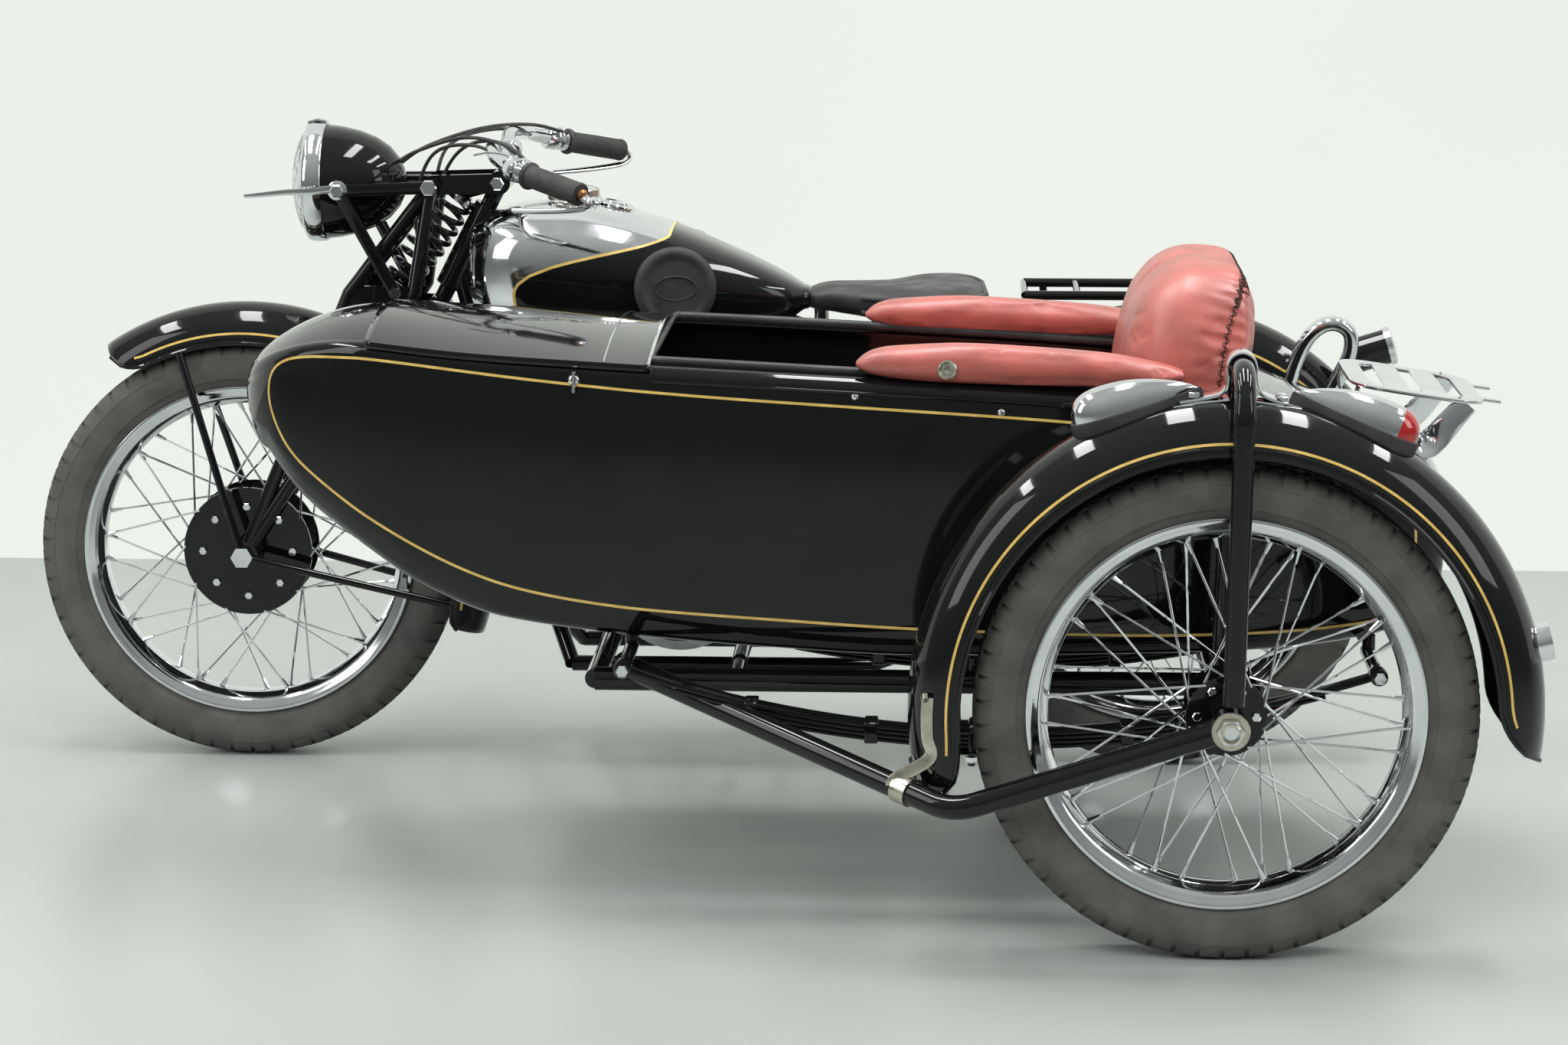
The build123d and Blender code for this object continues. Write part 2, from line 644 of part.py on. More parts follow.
with BuildPart() as cylinder:
    rod(at(CYLINDER_X, 0, CYLINDER_Z), at(CYLINDER_X, 0, HEAD_TOP_Z), 46)
    fin_step = (HEAD_TOP_Z - CYLINDER_Z - FIN_T) / FIN_COUNT
    fins = [level(0, CYLINDER_Z + fin_step * (n + 1)) for n in range(FIN_COUNT)]
    with BuildSketch(*fins):
        with Locations((CYLINDER_X, 0)):
            RectangleRounded(*FIN_SIZE, 32)
    extrude(amount=FIN_T)
cylinder.part.label = "cylinder"
export_step(cylinder.part, "parts/cylinder.step")

with BuildPart() as carburettor:
    fin_back = CYLINDER_X - FIN_SIZE[0] / 2
    rod(at(fin_back + 30, 0, 600), at(fin_back - 75, 0, 600), 20)
    rod(at(fin_back - 38, 0, 545), at(fin_back - 38, 0, 640), 24)
carburettor.part.label = "carburettor"
export_step(carburettor.part, "parts/carburettor.step")

# Gearbox with its kick lever, primary chain case, rear chain
GEAR = (535.0, 300.0)
GEAR_R = 36.0
GEAR_LEFT = 46.0
GEAR_RIGHT = -66.0
CHAIN_W = 8.0
CHAIN_T = 9.0
CHAIN_GAP = 0.6
CASE_R = 88.0
CASE_T = 46.0
with BuildPart() as gearbox:
    with BuildSketch(side(GEAR_LEFT)):
        with Locations((GEAR[0] + 5, GEAR[1])):
            RectangleRounded(130, 150, 36)
    extrude(amount=GEAR_LEFT - GEAR_RIGHT)
    rod(at(GEAR[0], GEAR_LEFT - 2, GEAR[1]), at(GEAR[0], SPROCKET_Y + SPROCKET_T, GEAR[1]), GEAR_R)
    tube(
        [
            at(510, GEAR_RIGHT + 5, 335),
            at(510, GEAR_RIGHT - 56, 335),
            at(425, GEAR_RIGHT - 64, 455),
            at(425, GEAR_RIGHT - 110, 460),
        ],
        9,
    )
gearbox.part.label = "gearbox"
export_step(gearbox.part, "parts/gearbox.step")

with BuildPart() as chaincase:
    link(CRANK, GEAR, CRANK_HALF + CASE_T, CASE_R, CASE_T)
chaincase.part.label = "chaincase"
export_step(chaincase.part, "parts/chaincase.step")


def chain_loop(grow):
    """Outline round both sprockets, grown outward."""
    with BuildSketch(side(SPROCKET_Y + CHAIN_W / 2)) as loop:
        with Locations(GEAR):
            Circle(GEAR_R + grow)
        with Locations((0, TYRE_R)):
            Circle(SPROCKET_R + grow)
        make_hull()
    return loop.sketch


with BuildPart() as rear_chain:
    extrude(chain_loop(CHAIN_GAP + CHAIN_T), amount=CHAIN_W)
    extrude(chain_loop(CHAIN_GAP), amount=CHAIN_W, mode=Mode.SUBTRACT)
rear_chain.part.label = "rear_chain"
export_step(rear_chain.part, "parts/rear_chain.step")

# Exhaust pipe and silencer on the right
PIPE_R = 19.0
SILENCER_R = 40.0
PIPE_END = (640.0, -142.0, 245.0)
with BuildPart() as exhaust:
    tube(
        [
            at(806, -30, 618),
            at(900, -66, 600),
            at(900, -128, 340),
            at(840, -142, 245),
            at(*PIPE_END),
        ],
        PIPE_R,
        40,
    )
    rod(at(*PIPE_END), at(60, -152, 258), SILENCER_R)
    rod(at(70, -152, 258), at(-230, -158, 264), PIPE_R)
exhaust.part.label = "exhaust"
export_step(exhaust.part, "parts/exhaust.step")

# Oil tank and battery either side of the seat tube
Box3 = namedtuple("Box3", "name x y z long wide tall")
BOXES = [
    Box3("oil_tank", 477.0, -54.0, 520.0, 110.0, 96.0, 180.0),
    Box3("battery", 472.0, 50.0, 500.0, 100.0, 88.0, 150.0),
]
for box in BOXES:
    with BuildPart() as case:
        with BuildSketch(level(0, box.z - box.tall / 2)):
            with Locations((box.x, box.y)):
                RectangleRounded(box.long, box.wide, 9)
        extrude(amount=box.tall)
    case.part.label = box.name
    export_step(case.part, f"parts/{box.name}.step")

# Fuel tank: rounded sections from front to rear, with a tunnel for the top tube
Slice = namedtuple("Slice", "x half low high corner")
TANK = [
    Slice(1036.0, 78.0, 715.0, 838.0, 42.0),
    Slice(990.0, 122.0, 672.0, 868.0, 58.0),
    Slice(840.0, TANK_HALF, 664.0, 864.0, 62.0),
    Slice(690.0, 118.0, 668.0, 812.0, 52.0),
    Slice(560.0, 72.0, 682.0, 754.0, 34.0),
]
TOP_FRONT = (head_x(TOP_TUBE_Z), TOP_TUBE_Z)
TOP_BACK = (SEAT_LUG[0], SEAT_LUG[1] - TOP_TUBE_DROP)
top_slope = (TOP_FRONT[1] - TOP_BACK[1]) / (TOP_FRONT[0] - TOP_BACK[0])
tube_rise = TUBE_R * sqrt(1 + top_slope**2)
with BuildPart() as tank:
    for cut in TANK:
        with BuildSketch(Plane(origin=at(cut.x, 0, (cut.low + cut.high) / 2), x_dir=LEFT, z_dir=(1, 0, 0))):
            RectangleRounded(2 * cut.half, cut.high - cut.low, cut.corner)
    loft()
    tunnel = [
        (1060.0, TOP_FRONT[1] + (1060 - TOP_FRONT[0]) * top_slope + tube_rise),
        (1060.0, 600.0),
        (520.0, 600.0),
        (520.0, TOP_FRONT[1] + (520 - TOP_FRONT[0]) * top_slope + tube_rise),
    ]
    with BuildSketch(side(TUBE_R + 5)):
        with BuildLine():
            Polyline(*tunnel, close=True)
        make_face()
    extrude(amount=2 * TUBE_R + 10, mode=Mode.SUBTRACT)
    rod(head_low, head_high + STEM_UP * 60, HEAD_R + 8, Mode.SUBTRACT)
tank.part.label = "fuel_tank"
export_step(tank.part, "parts/fuel_tank.step")

KNEE = (735.0, 752.0)
KNEE_R = 62.0
with BuildPart() as knee_grips:
    for hand in (-1, 1):
        with BuildSketch(side(hand * (TANK_HALF + 4))):
            with Locations(KNEE):
                Circle(KNEE_R)
        extrude(amount=14, both=True)
knee_grips.part.label = "knee_grips"
export_step(knee_grips.part, "parts/knee_grips.step")

# Saddle on its springs
SADDLE_LOW = 706.0
SADDLE_T = 44.0
with BuildPart() as saddle:
    with BuildSketch(level(0, SADDLE_LOW)):
        with BuildLine():
            Line((540, -36), (540, 36))
            Line((540, 36), (420, 62))
            Line((420, 62), (340, 140))
            ThreePointArc((340, 140), (272, 0), (340, -140))
            Line((340, -140), (420, -62))
            Line((420, -62), (540, -36))
        make_face()
    extrude(amount=SADDLE_T)
saddle.part.label = "saddle"
export_step(saddle.part, "parts/saddle.step")

SADDLE_POST_X = 322.0
with BuildPart() as saddle_springs:
    for hand in (-1, 1):
        rod(at(SADDLE_POST_X, hand * 92, 622), at(SADDLE_POST_X, hand * 92, SADDLE_LOW), 19)
    rod(at(SADDLE_POST_X, -92, 618), at(SADDLE_POST_X, 92, 618), 9)
    rod(at(520, 0, 672), at(520, 0, SADDLE_LOW), 12)
saddle_springs.part.label = "saddle_springs"
export_step(saddle_springs.part, "parts/saddle_springs.step")

# Carrier over the rear mudguard, lifting handle and tail lamp
CARRIER_Z = 738.0
CARRIER_Y = 78.0
BAR_X = [210.0, 130.0, 40.0, -50.0, -120.0]
with BuildPart() as carrier:
    for hand in (-1, 1):
        rod(at(BAR_X[0], hand * CARRIER_Y, CARRIER_Z), at(BAR_X[-1], hand * CARRIER_Y, CARRIER_Z), 7)
        rod(at(180, hand * CARRIER_Y, CARRIER_Z), at(165, hand * STAY_Y, 466), 6)
        rod(at(-100, hand * CARRIER_Y, CARRIER_Z), at(40, hand * STAY_Y, 360), 6)
    for x in BAR_X:
        rod(at(x, -CARRIER_Y, CARRIER_Z), at(x, CARRIER_Y, CARRIER_Z), 5.5)
    rod(at(40, 0, CARRIER_Z), at(38, 0, TYRE_R + REAR_GUARD_R - 6), 8)
carrier.part.label = "carrier"
export_step(carrier.part, "parts/carrier.step")

with BuildPart() as handle:
    tube([at(-190, 52, 612), at(-236, 84, 694), at(-292, 84, 676), at(-262, 52, 590)], 8)
handle.part.label = "lifting_handle"
export_step(handle.part, "parts/lifting_handle.step")

with BuildPart() as tail_lamp:
    rod(at(-272, 0, 600), at(-304, 0, 642), 10)
    rod(at(-292, 0, 636), at(-350, 0, 654), 27)
tail_lamp.part.label = "tail_lamp"
export_step(tail_lamp.part, "parts/tail_lamp.step")

# Sidecar chassis: inner and outer rails, cross tubes, axle beam, outer tube and wheel hoop
RAIL_IN = BODY_IN + 13.0
RAIL_OUT = BODY_Y + BODY_HALF - 55.0
CROSS_R = 14.0
CLIP_R = 8.0
OUTER_Y = TRACK + OUTER_TUBE
LEAF_MID = (250.0, 262.0)
LEAF_Y = (BODY_IN + 125.0, BODY_Y + BODY_HALF + 60.0)
LEAF_T = 6.0
LEAF_COUNT = 4
SPRING_Z = LEAF_MID[1] - LEAF_COUNT * LEAF_T - 18
with BuildPart() as chassis:
    rod(at(880, RAIL_IN, CHASSIS_Z), at(-230, RAIL_IN, CHASSIS_Z), TUBE_R)
    rod(at(800, RAIL_OUT, CHASSIS_Z), at(-60, RAIL_OUT, CHASSIS_Z), TUBE_R)
    rod(at(800, RAIL_IN, CHASSIS_Z), at(800, RAIL_OUT, CHASSIS_Z), CROSS_R)
    rod(at(SIDE_LEAD, RAIL_IN, CHASSIS_Z), at(SIDE_LEAD, SIDE_BEAM_Y - 60, CHASSIS_Z + 14), CROSS_R)
    rod(at(SIDE_LEAD, SIDE_BEAM_Y - 75, TYRE_R), at(SIDE_LEAD, SIDE_BEAM_Y, TYRE_R), 26)
    tube(
        [
            at(SIDE_LEAD, OUTER_Y, TYRE_R),
            at(310, OUTER_Y, 214),
            at(765, RAIL_OUT, 322),
        ],
        OUTER_TUBE_R,
        70,
    )
    lug = at(SIDE_LEAD, OUTER_Y, TYRE_R)
    rod(lug - LEFT * OUTER_TUBE_R, lug + LEFT * OUTER_TUBE_R, 24)
    rod(at(SIDE_LEAD, SIDE_BEAM_Y - 60, TYRE_R), lug + LEFT * 40, AXLE_R, Mode.SUBTRACT)
    rod(at(LEAF_MID[0], RAIL_IN - 20, SPRING_Z), at(LEAF_MID[0], LEAF_Y[1] + 25, SPRING_Z), 18)
    rod(at(345, OUTER_Y - 32, 222), at(360, TRACK + 20, 262), CLIP_R)
    for y in (RAIL_IN, RAIL_OUT):
        rod(at(LEAF_MID[0], y, SPRING_Z), at(LEAF_MID[0], y, CHASSIS_Z), CROSS_R)
chassis.part.label = "sidecar_chassis"
export_step(chassis.part, "parts/sidecar_chassis.step")

# Hoop over the wheel, from the outer axle end to the axle beam
HOOP_R = 14.0
HOOP_Z = TYRE_R + SIDE_GUARD_R + 40
with BuildPart() as hoop:
    tube(
        [
            at(SIDE_LEAD - 4, OUTER_Y, TYRE_R + 30),
            at(SIDE_LEAD - 12, OUTER_Y, HOOP_Z),
            at(SIDE_LEAD - 12, HOOP_IN, HOOP_Z),
            at(SIDE_LEAD, HOOP_IN, TYRE_R + 10),
        ],
        HOOP_R,
        60,
    )
    crown = at(SIDE_LEAD - 12, TRACK, TYRE_R + SIDE_GUARD_R)
    rod(crown - UP * 2, crown + UP * (HOOP_Z - TYRE_R - SIDE_GUARD_R), HOOP_R - 2)
hoop.part.label = "wheel_hoop"
export_step(hoop.part, "parts/wheel_hoop.step")

# Leaf springs beside the body, with eyes under its floor and a cross tube at the middle
LEAF_W = 40.0
LEAF_SHORT = 70.0
LEAF_ENDS = (751.0, -251.0)
LEAF_END_Z = 344.0
EYE_R = 10.0
EYE_RISE = 24.0
leaf_sag = LEAF_END_Z - LEAF_MID[1]
leaf_half = (LEAF_ENDS[0] - LEAF_ENDS[1]) / 2
with BuildPart() as leaf_springs:
    for leaf_y in LEAF_Y:
        for n in range(LEAF_COUNT):
            half = leaf_half - LEAF_SHORT * n
            low = LEAF_MID[1] - LEAF_T * n
            rise = leaf_sag * (half / leaf_half) ** 2
            with BuildSketch(side(leaf_y + LEAF_W / 2)):
                with BuildLine():
                    ThreePointArc(
                        (LEAF_MID[0] - half, low + rise),
                        (LEAF_MID[0], low),
                        (LEAF_MID[0] + half, low + rise),
                    )
                    Line((LEAF_MID[0] + half, low + rise), (LEAF_MID[0] + half, low + rise - LEAF_T))
                    ThreePointArc(
                        (LEAF_MID[0] + half, low + rise - LEAF_T),
                        (LEAF_MID[0], low - LEAF_T),
                        (LEAF_MID[0] - half, low + rise - LEAF_T),
                    )
                    Line((LEAF_MID[0] - half, low + rise - LEAF_T), (LEAF_MID[0] - half, low + rise))
                make_face()
            extrude(amount=LEAF_W)
        for x in LEAF_ENDS:
            eye = at(x, leaf_y + LEAF_W / 2, LEAF_END_Z - LEAF_T / 2)
            post = at(x, min(leaf_y, RAIL_OUT - 20), LEAF_END_Z - LEAF_T / 2)
            rod(eye, post - LEFT * LEAF_W / 2, EYE_R)
            rod(post, post + UP * EYE_RISE, EYE_R - 1)
leaf_springs.part.label = "leaf_springs"
export_step(leaf_springs.part, "parts/leaf_springs.step")

# Arms from the chassis to the motorcycle's frame
ARM_R = 14.0
Arm = namedtuple("Arm", "x z to_x to_y to_z")


def down_tube_x(z):
    """How far forward the frame's down tube is at a height."""
    run = head_x(DOWN_TOP_Z) - DOWN_FOOT[0]
    return DOWN_FOOT[0] + run * (z - DOWN_FOOT[1]) / (DOWN_TOP_Z - DOWN_FOOT[1])


ARMS = [
    Arm(870.0, CHASSIS_Z, down_tube_x(250.0), 15.0, 250.0),
    Arm(800.0, CHASSIS_Z, down_tube_x(588.0), 8.0, 588.0),
    Arm(300.0, CHASSIS_Z, 407.0, 8.0, 632.0),
    Arm(150.0, CHASSIS_Z, 150.0, STAY_Y + 6, 271.0),
]
with BuildPart() as arms:
    for arm in ARMS:
        rod(at(arm.x, RAIL_IN, arm.z), at(arm.to_x, arm.to_y, arm.to_z), ARM_R)
arms.part.label = "sidecar_arms"
export_step(arms.part, "parts/sidecar_arms.step")

# Sidecar body: side outline crossed with plan outline, rounded, hollow, open over the seat
GUNWALE_FRONT = (720.0, 735.0)
GUNWALE_BACK = (-60.0, 690.0)
DECK_FRONT = (1110.0, 760.0)
NOSE = (1304.0, 672.0)
TAIL = (-352.0, 587.0)
TAIL_LOW = (-352.0, 406.0)
TAIL_FLOOR = (-200.0, 356.0)
FLOOR_BACK = (300.0, 342.0)
FLOOR_FRONT = (750.0, 362.0)
CHIN = (1040.0, 418.0)
NOSE_BROW = (1250.0, 738.0)
NOSE_JAW = (1214.0, 530.0)
CHIN_BACK = (910.0, 375.0)
BODY_EDGE = 24.0
BODY_TALL = 600.0
EDGE_TOP_Z = 520.0
EDGE_END_X = 1200.0
PLAN_NOSE = (1306.0, 0.0)
PLAN_CHEEK = (1250.0, 0.46 * BODY_HALF)
PLAN_BOW = (1020.0, 0.81 * BODY_HALF)
PLAN_FRONT = (720.0, BODY_HALF)
PLAN_BACK = (60.0, BODY_HALF)
PLAN_HIP = (-200.0, 0.895 * BODY_HALF)
PLAN_TAIL = (-354.0, 0.71 * BODY_HALF)


def body_side(inset):
    """Side outline of the body, moved inward."""
    with BuildSketch(side(BODY_Y)) as outline:
        with BuildLine():
            Line(TAIL, GUNWALE_BACK)
            Line(GUNWALE_BACK, GUNWALE_FRONT)
            Line(GUNWALE_FRONT, DECK_FRONT)
            ThreePointArc(DECK_FRONT, NOSE_BROW, NOSE)
            ThreePointArc(NOSE, NOSE_JAW, CHIN)
            ThreePointArc(CHIN, CHIN_BACK, FLOOR_FRONT)
            Line(FLOOR_FRONT, FLOOR_BACK)
            Line(FLOOR_BACK, TAIL_FLOOR)
            Line(TAIL_FLOOR, TAIL_LOW)
            Line(TAIL_LOW, TAIL)
        make_face()
        if inset:
            offset(amount=-inset, kind=Kind.INTERSECTION)
    return outline.sketch


def body_plan(inset):
    """Plan outline of the body, moved inward."""
    left = [PLAN_TAIL, PLAN_HIP, PLAN_BACK, PLAN_FRONT, PLAN_BOW, PLAN_CHEEK]
    right = [(x, -y) for x, y in left]
    with BuildSketch(level(BODY_Y, CHASSIS_Z)) as outline:
        with BuildLine():
            ThreePointArc(left[5], PLAN_NOSE, right[5])
            Line(left[0], right[0])
            for tail, hip, back, front, bow, cheek in (left, right):
                ThreePointArc(tail, hip, back)
                Line(back, front)
                ThreePointArc(front, bow, cheek)
        make_face()
        if inset:
            offset(amount=-inset, kind=Kind.INTERSECTION)
    return outline.sketch


def body_form(inset):
    """Whole body as a solid: side outline crossed with plan outline, its lower edges rounded."""
    with BuildPart() as form:
        extrude(body_side(inset), amount=2 * BODY_HALF, both=True)
        extrude(body_plan(inset), amount=BODY_TALL, mode=Mode.INTERSECT)
        lower = [
            edge
            for edge in form.edges()
            if abs((edge @ 0.5).Y - BIKE_Y - BODY_Y) > 1
            and (edge @ 0.5).Z < EDGE_TOP_Z
            and (edge @ 0.5).X < REAR_X + EDGE_END_X
            and abs((edge @ 0).X - (edge @ 1).X) > BODY_WALL
        ]
        fillet(lower, BODY_EDGE - inset)
    return form.part


COCKPIT_BACK = -100.0
COCKPIT_FRONT = 716.0
COCKPIT_HALF = BODY_HALF - 37.0
COCKPIT_CORNER = 40.0
COCKPIT_LOW = 600.0
COCKPIT_DEEP = 200.0
with BuildPart() as tub:
    add(body_form(0))
    add(body_form(BODY_WALL), mode=Mode.SUBTRACT)
    with BuildSketch(level(BODY_Y, COCKPIT_LOW)):
        with Locations(((COCKPIT_BACK + COCKPIT_FRONT) / 2, 0)):
            RectangleRounded(COCKPIT_FRONT - COCKPIT_BACK, 2 * COCKPIT_HALF, COCKPIT_CORNER)
    extrude(amount=COCKPIT_DEEP, mode=Mode.SUBTRACT)
tub.part.label = "sidecar_tub"
export_step(tub.part, "parts/sidecar_tub.step")

# Crowned deck panel ahead of the seat opening
DECK_RISE = 25.0
DECK_INSET = 20.0
deck_run = Vector(DECK_FRONT[0] - GUNWALE_FRONT[0], 0, DECK_FRONT[1] - GUNWALE_FRONT[1])
with BuildPart() as deck:
    with BuildSketch(Plane(origin=at(GUNWALE_FRONT[0], BODY_Y, GUNWALE_FRONT[1]), x_dir=LEFT, z_dir=deck_run)):
        with BuildLine():
            ThreePointArc((-BODY_HALF, 0), (0, DECK_RISE), (BODY_HALF, 0))
            Line((BODY_HALF, 0), (-BODY_HALF, 0))
        make_face()
    extrude(amount=deck_run.length)
    extrude(body_plan(DECK_INSET), amount=BODY_TALL, mode=Mode.INTERSECT)
deck.part.label = "deck_panel"
export_step(deck.part, "parts/deck_panel.step")

# Seat cushion, backrest and armrests
gunwale_slope = (GUNWALE_FRONT[1] - GUNWALE_BACK[1]) / (GUNWALE_FRONT[0] - GUNWALE_BACK[0])
CUSHION_TOP = 560.0
CUSHION_T = 150.0
CUSHION_X = 250.0
CUSHION_LEN = 460.0
CUSHION_CORNER = 40.0
CUSHION_GAP = 40.0
BACK_GAP = 50.0
with BuildPart() as seat:
    with BuildSketch(level(BODY_Y, CUSHION_TOP - CUSHION_T)):
        with Locations((CUSHION_X, 0)):
            RectangleRounded(CUSHION_LEN, 2 * (BODY_HALF - CUSHION_GAP), CUSHION_CORNER)
    extrude(amount=CUSHION_T)
seat.part.label = "seat_cushion"
export_step(seat.part, "parts/seat_cushion.step")

with BuildPart() as backrest:
    with BuildSketch(side(BODY_Y + BODY_HALF - BACK_GAP)):
        with BuildLine():
            Polyline((92, CUSHION_TOP), (88, 742), (66, 815), (44, 872))
            ThreePointArc((44, 872), (-24, 898), (-86, 866))
            Polyline((-86, 866), (-82, 760), (-66, 690), (20, CUSHION_TOP), (92, CUSHION_TOP))
        make_face()
    extrude(amount=2 * (BODY_HALF - BACK_GAP))
backrest.part.label = "backrest"
export_step(backrest.part, "parts/backrest.step")


def gunwale_z(x):
    """Height of the body's upper edge beside the seat."""
    return GUNWALE_BACK[1] + (x - GUNWALE_BACK[0]) * gunwale_slope


ARMREST_OUT = BODY_HALF - 25.0
ARMREST_W = 70.0
for name, hand in (("armrest_right", -1), ("armrest_left", 1)):
    with BuildPart() as armrest:
        with BuildSketch(side(BODY_Y + hand * ARMREST_OUT + ARMREST_W / 2)):
            with BuildLine():
                Line((0, gunwale_z(0)), (430, gunwale_z(430)))
                ThreePointArc((430, gunwale_z(430)), (448, 738), (425, 758))
                ThreePointArc((425, 758), (250, 764), (0, 738))
                Line((0, 738), (0, gunwale_z(0)))
            make_face()
        extrude(amount=ARMREST_W)
    armrest.part.label = name
    export_step(armrest.part, f"parts/{name}.step")

# Luggage rack on the tail
RACK_FRONT = (-229.0, 698.0)
RACK_BACK = (-436.0, 667.0)
RACK_HALF = 0.45 * BODY_HALF
tail_slope = (GUNWALE_BACK[1] - TAIL[1]) / (GUNWALE_BACK[0] - TAIL[0])
with BuildPart() as rack:
    for hand in (-1, 1):
        y = BODY_Y + hand * RACK_HALF
        rod(at(RACK_FRONT[0], y, RACK_FRONT[1]), at(RACK_BACK[0], y, RACK_BACK[1]), 7)
        for share, foot_x in ((0.1, -225.0), (0.8, -330.0)):
            top_x = RACK_FRONT[0] + (RACK_BACK[0] - RACK_FRONT[0]) * share
            top_z = RACK_FRONT[1] + (RACK_BACK[1] - RACK_FRONT[1]) * share
            foot_z = TAIL[1] + (foot_x - TAIL[0]) * tail_slope
            rod(at(top_x, y, top_z), at(foot_x, y, foot_z), 6)
    for share in (0.0, 0.33, 0.67, 1.0):
        bar_x = RACK_FRONT[0] + (RACK_BACK[0] - RACK_FRONT[0]) * share
        bar_z = RACK_FRONT[1] + (RACK_BACK[1] - RACK_FRONT[1]) * share
        rod(at(bar_x, BODY_Y - RACK_HALF, bar_z), at(bar_x, BODY_Y + RACK_HALF, bar_z), 5.5)
rack.part.label = "luggage_rack"
export_step(rack.part, "parts/luggage_rack.step")

# Lamps on the sidecar mudguard and the round reflector at its back
LAMP_LEN = 165.0
LAMP_BULGE = 27.0
GUARD_LAMP_TURNS = (74.0, 120.0)
with BuildPart() as guard_lamps:
    for angle in GUARD_LAMP_TURNS:
        turn = radians(angle)
        away = 1 if angle > 90 else -1
        along = Vector(-sin(turn), 0, cos(turn)) * away
        middle = at(SIDE_LEAD, TRACK, TYRE_R) + Vector(cos(turn), 0, sin(turn)) * (SIDE_GUARD_R + 18)
        with BuildSketch(Plane(origin=middle, x_dir=along, z_dir=LEFT)):
            with BuildLine():
                tip = (-LAMP_LEN / 2, 0)
                face = (LAMP_LEN / 2, 0.6 * LAMP_BULGE)
                ThreePointArc(tip, (0.1 * LAMP_LEN, LAMP_BULGE), face)
                Line(face, (LAMP_LEN / 2, 0))
                Line((LAMP_LEN / 2, 0), tip)
            make_face()
        revolve(axis=Axis(middle, along))
guard_lamps.part.label = "guard_lamps"
export_step(guard_lamps.part, "parts/guard_lamps.step")

REFLECTOR_TILT = 13.0
REFLECTOR_R = 24.0
tilt = radians(REFLECTOR_TILT)
reflector_reach = (REFLECTOR_END + SIDE_LEAD - REFLECTOR_R * sin(tilt)) / cos(tilt)
reflector_run = Vector(-cos(tilt), 0, sin(tilt))
wheel_mid = at(SIDE_LEAD, TRACK, TYRE_R)
with BuildPart() as reflector:
    rod(
        wheel_mid + reflector_run * (SIDE_GUARD_R - 4),
        wheel_mid + reflector_run * reflector_reach,
        REFLECTOR_R,
    )
reflector.part.label = "reflector"
export_step(reflector.part, "parts/reflector.step")
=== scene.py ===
import json
from collections import namedtuple
from math import cos, pi, radians, sin

import bmesh
import bpy
import numpy as np
from bpy.props import FloatProperty, FloatVectorProperty, IntProperty, PointerProperty
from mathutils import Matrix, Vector
from mathutils.bvhtree import BVHTree


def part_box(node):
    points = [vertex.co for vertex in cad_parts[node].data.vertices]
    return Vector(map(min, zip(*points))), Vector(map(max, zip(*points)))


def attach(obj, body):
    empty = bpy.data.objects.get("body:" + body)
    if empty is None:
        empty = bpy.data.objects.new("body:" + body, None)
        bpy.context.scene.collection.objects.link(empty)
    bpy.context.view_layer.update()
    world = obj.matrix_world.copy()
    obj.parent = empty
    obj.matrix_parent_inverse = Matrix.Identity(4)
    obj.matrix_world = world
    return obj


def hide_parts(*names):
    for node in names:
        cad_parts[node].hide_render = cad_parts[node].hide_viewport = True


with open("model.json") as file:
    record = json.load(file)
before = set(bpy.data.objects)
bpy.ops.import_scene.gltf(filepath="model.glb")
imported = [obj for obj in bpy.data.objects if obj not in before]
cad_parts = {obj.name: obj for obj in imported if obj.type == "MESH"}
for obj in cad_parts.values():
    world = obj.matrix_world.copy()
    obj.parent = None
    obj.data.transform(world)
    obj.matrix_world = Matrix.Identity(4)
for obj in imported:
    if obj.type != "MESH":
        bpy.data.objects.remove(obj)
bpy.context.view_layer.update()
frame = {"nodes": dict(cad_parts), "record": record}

bl_info = {
    "name": "Sidecar outfit finish",
    "version": (1, 0, 0),
    "blender": (4, 5, 0),
    "location": "View3D > Sidebar > Outfit",
    "description": "Bodywork, upholstery, tyres, trim and studio for a motorcycle with a sidecar",
    "category": "Add Mesh",
}

# Lengths are millimetres, counted as at() says, unless a name ends in _m.


def middle(node):
    """Middle of a node's box, in metres."""
    low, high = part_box(node)
    return (np.array(low) + np.array(high)) / 2


REAR = middle("rear_tyre")
FRONT = middle("front_tyre")
SIDE = middle("sidecar_tyre")
WHEELBASE = 1000 * (FRONT[0] - REAR[0])
TRACK = 1000 * (SIDE[1] - REAR[1])
SIDE_LEAD = 1000 * (SIDE[0] - REAR[0])
TYRE_R = 1000 * REAR[2]
BODY_Y = 1000 * (middle("sidecar_tub")[1] - REAR[1])


def at(x, y, z):
    """Points x ahead of the rear axle, y left of the motorcycle's mid-plane, z above the ground."""
    x, y, z = np.broadcast_arrays(np.asarray(x, float), np.asarray(y, float), np.asarray(z, float))
    return np.stack([REAR[0] + x / 1000, REAR[1] + y / 1000, z / 1000], axis=-1)


def places(points):
    """Rows of (x, y, z) as points, counted as at() says."""
    return at(*np.array(points, float).T)


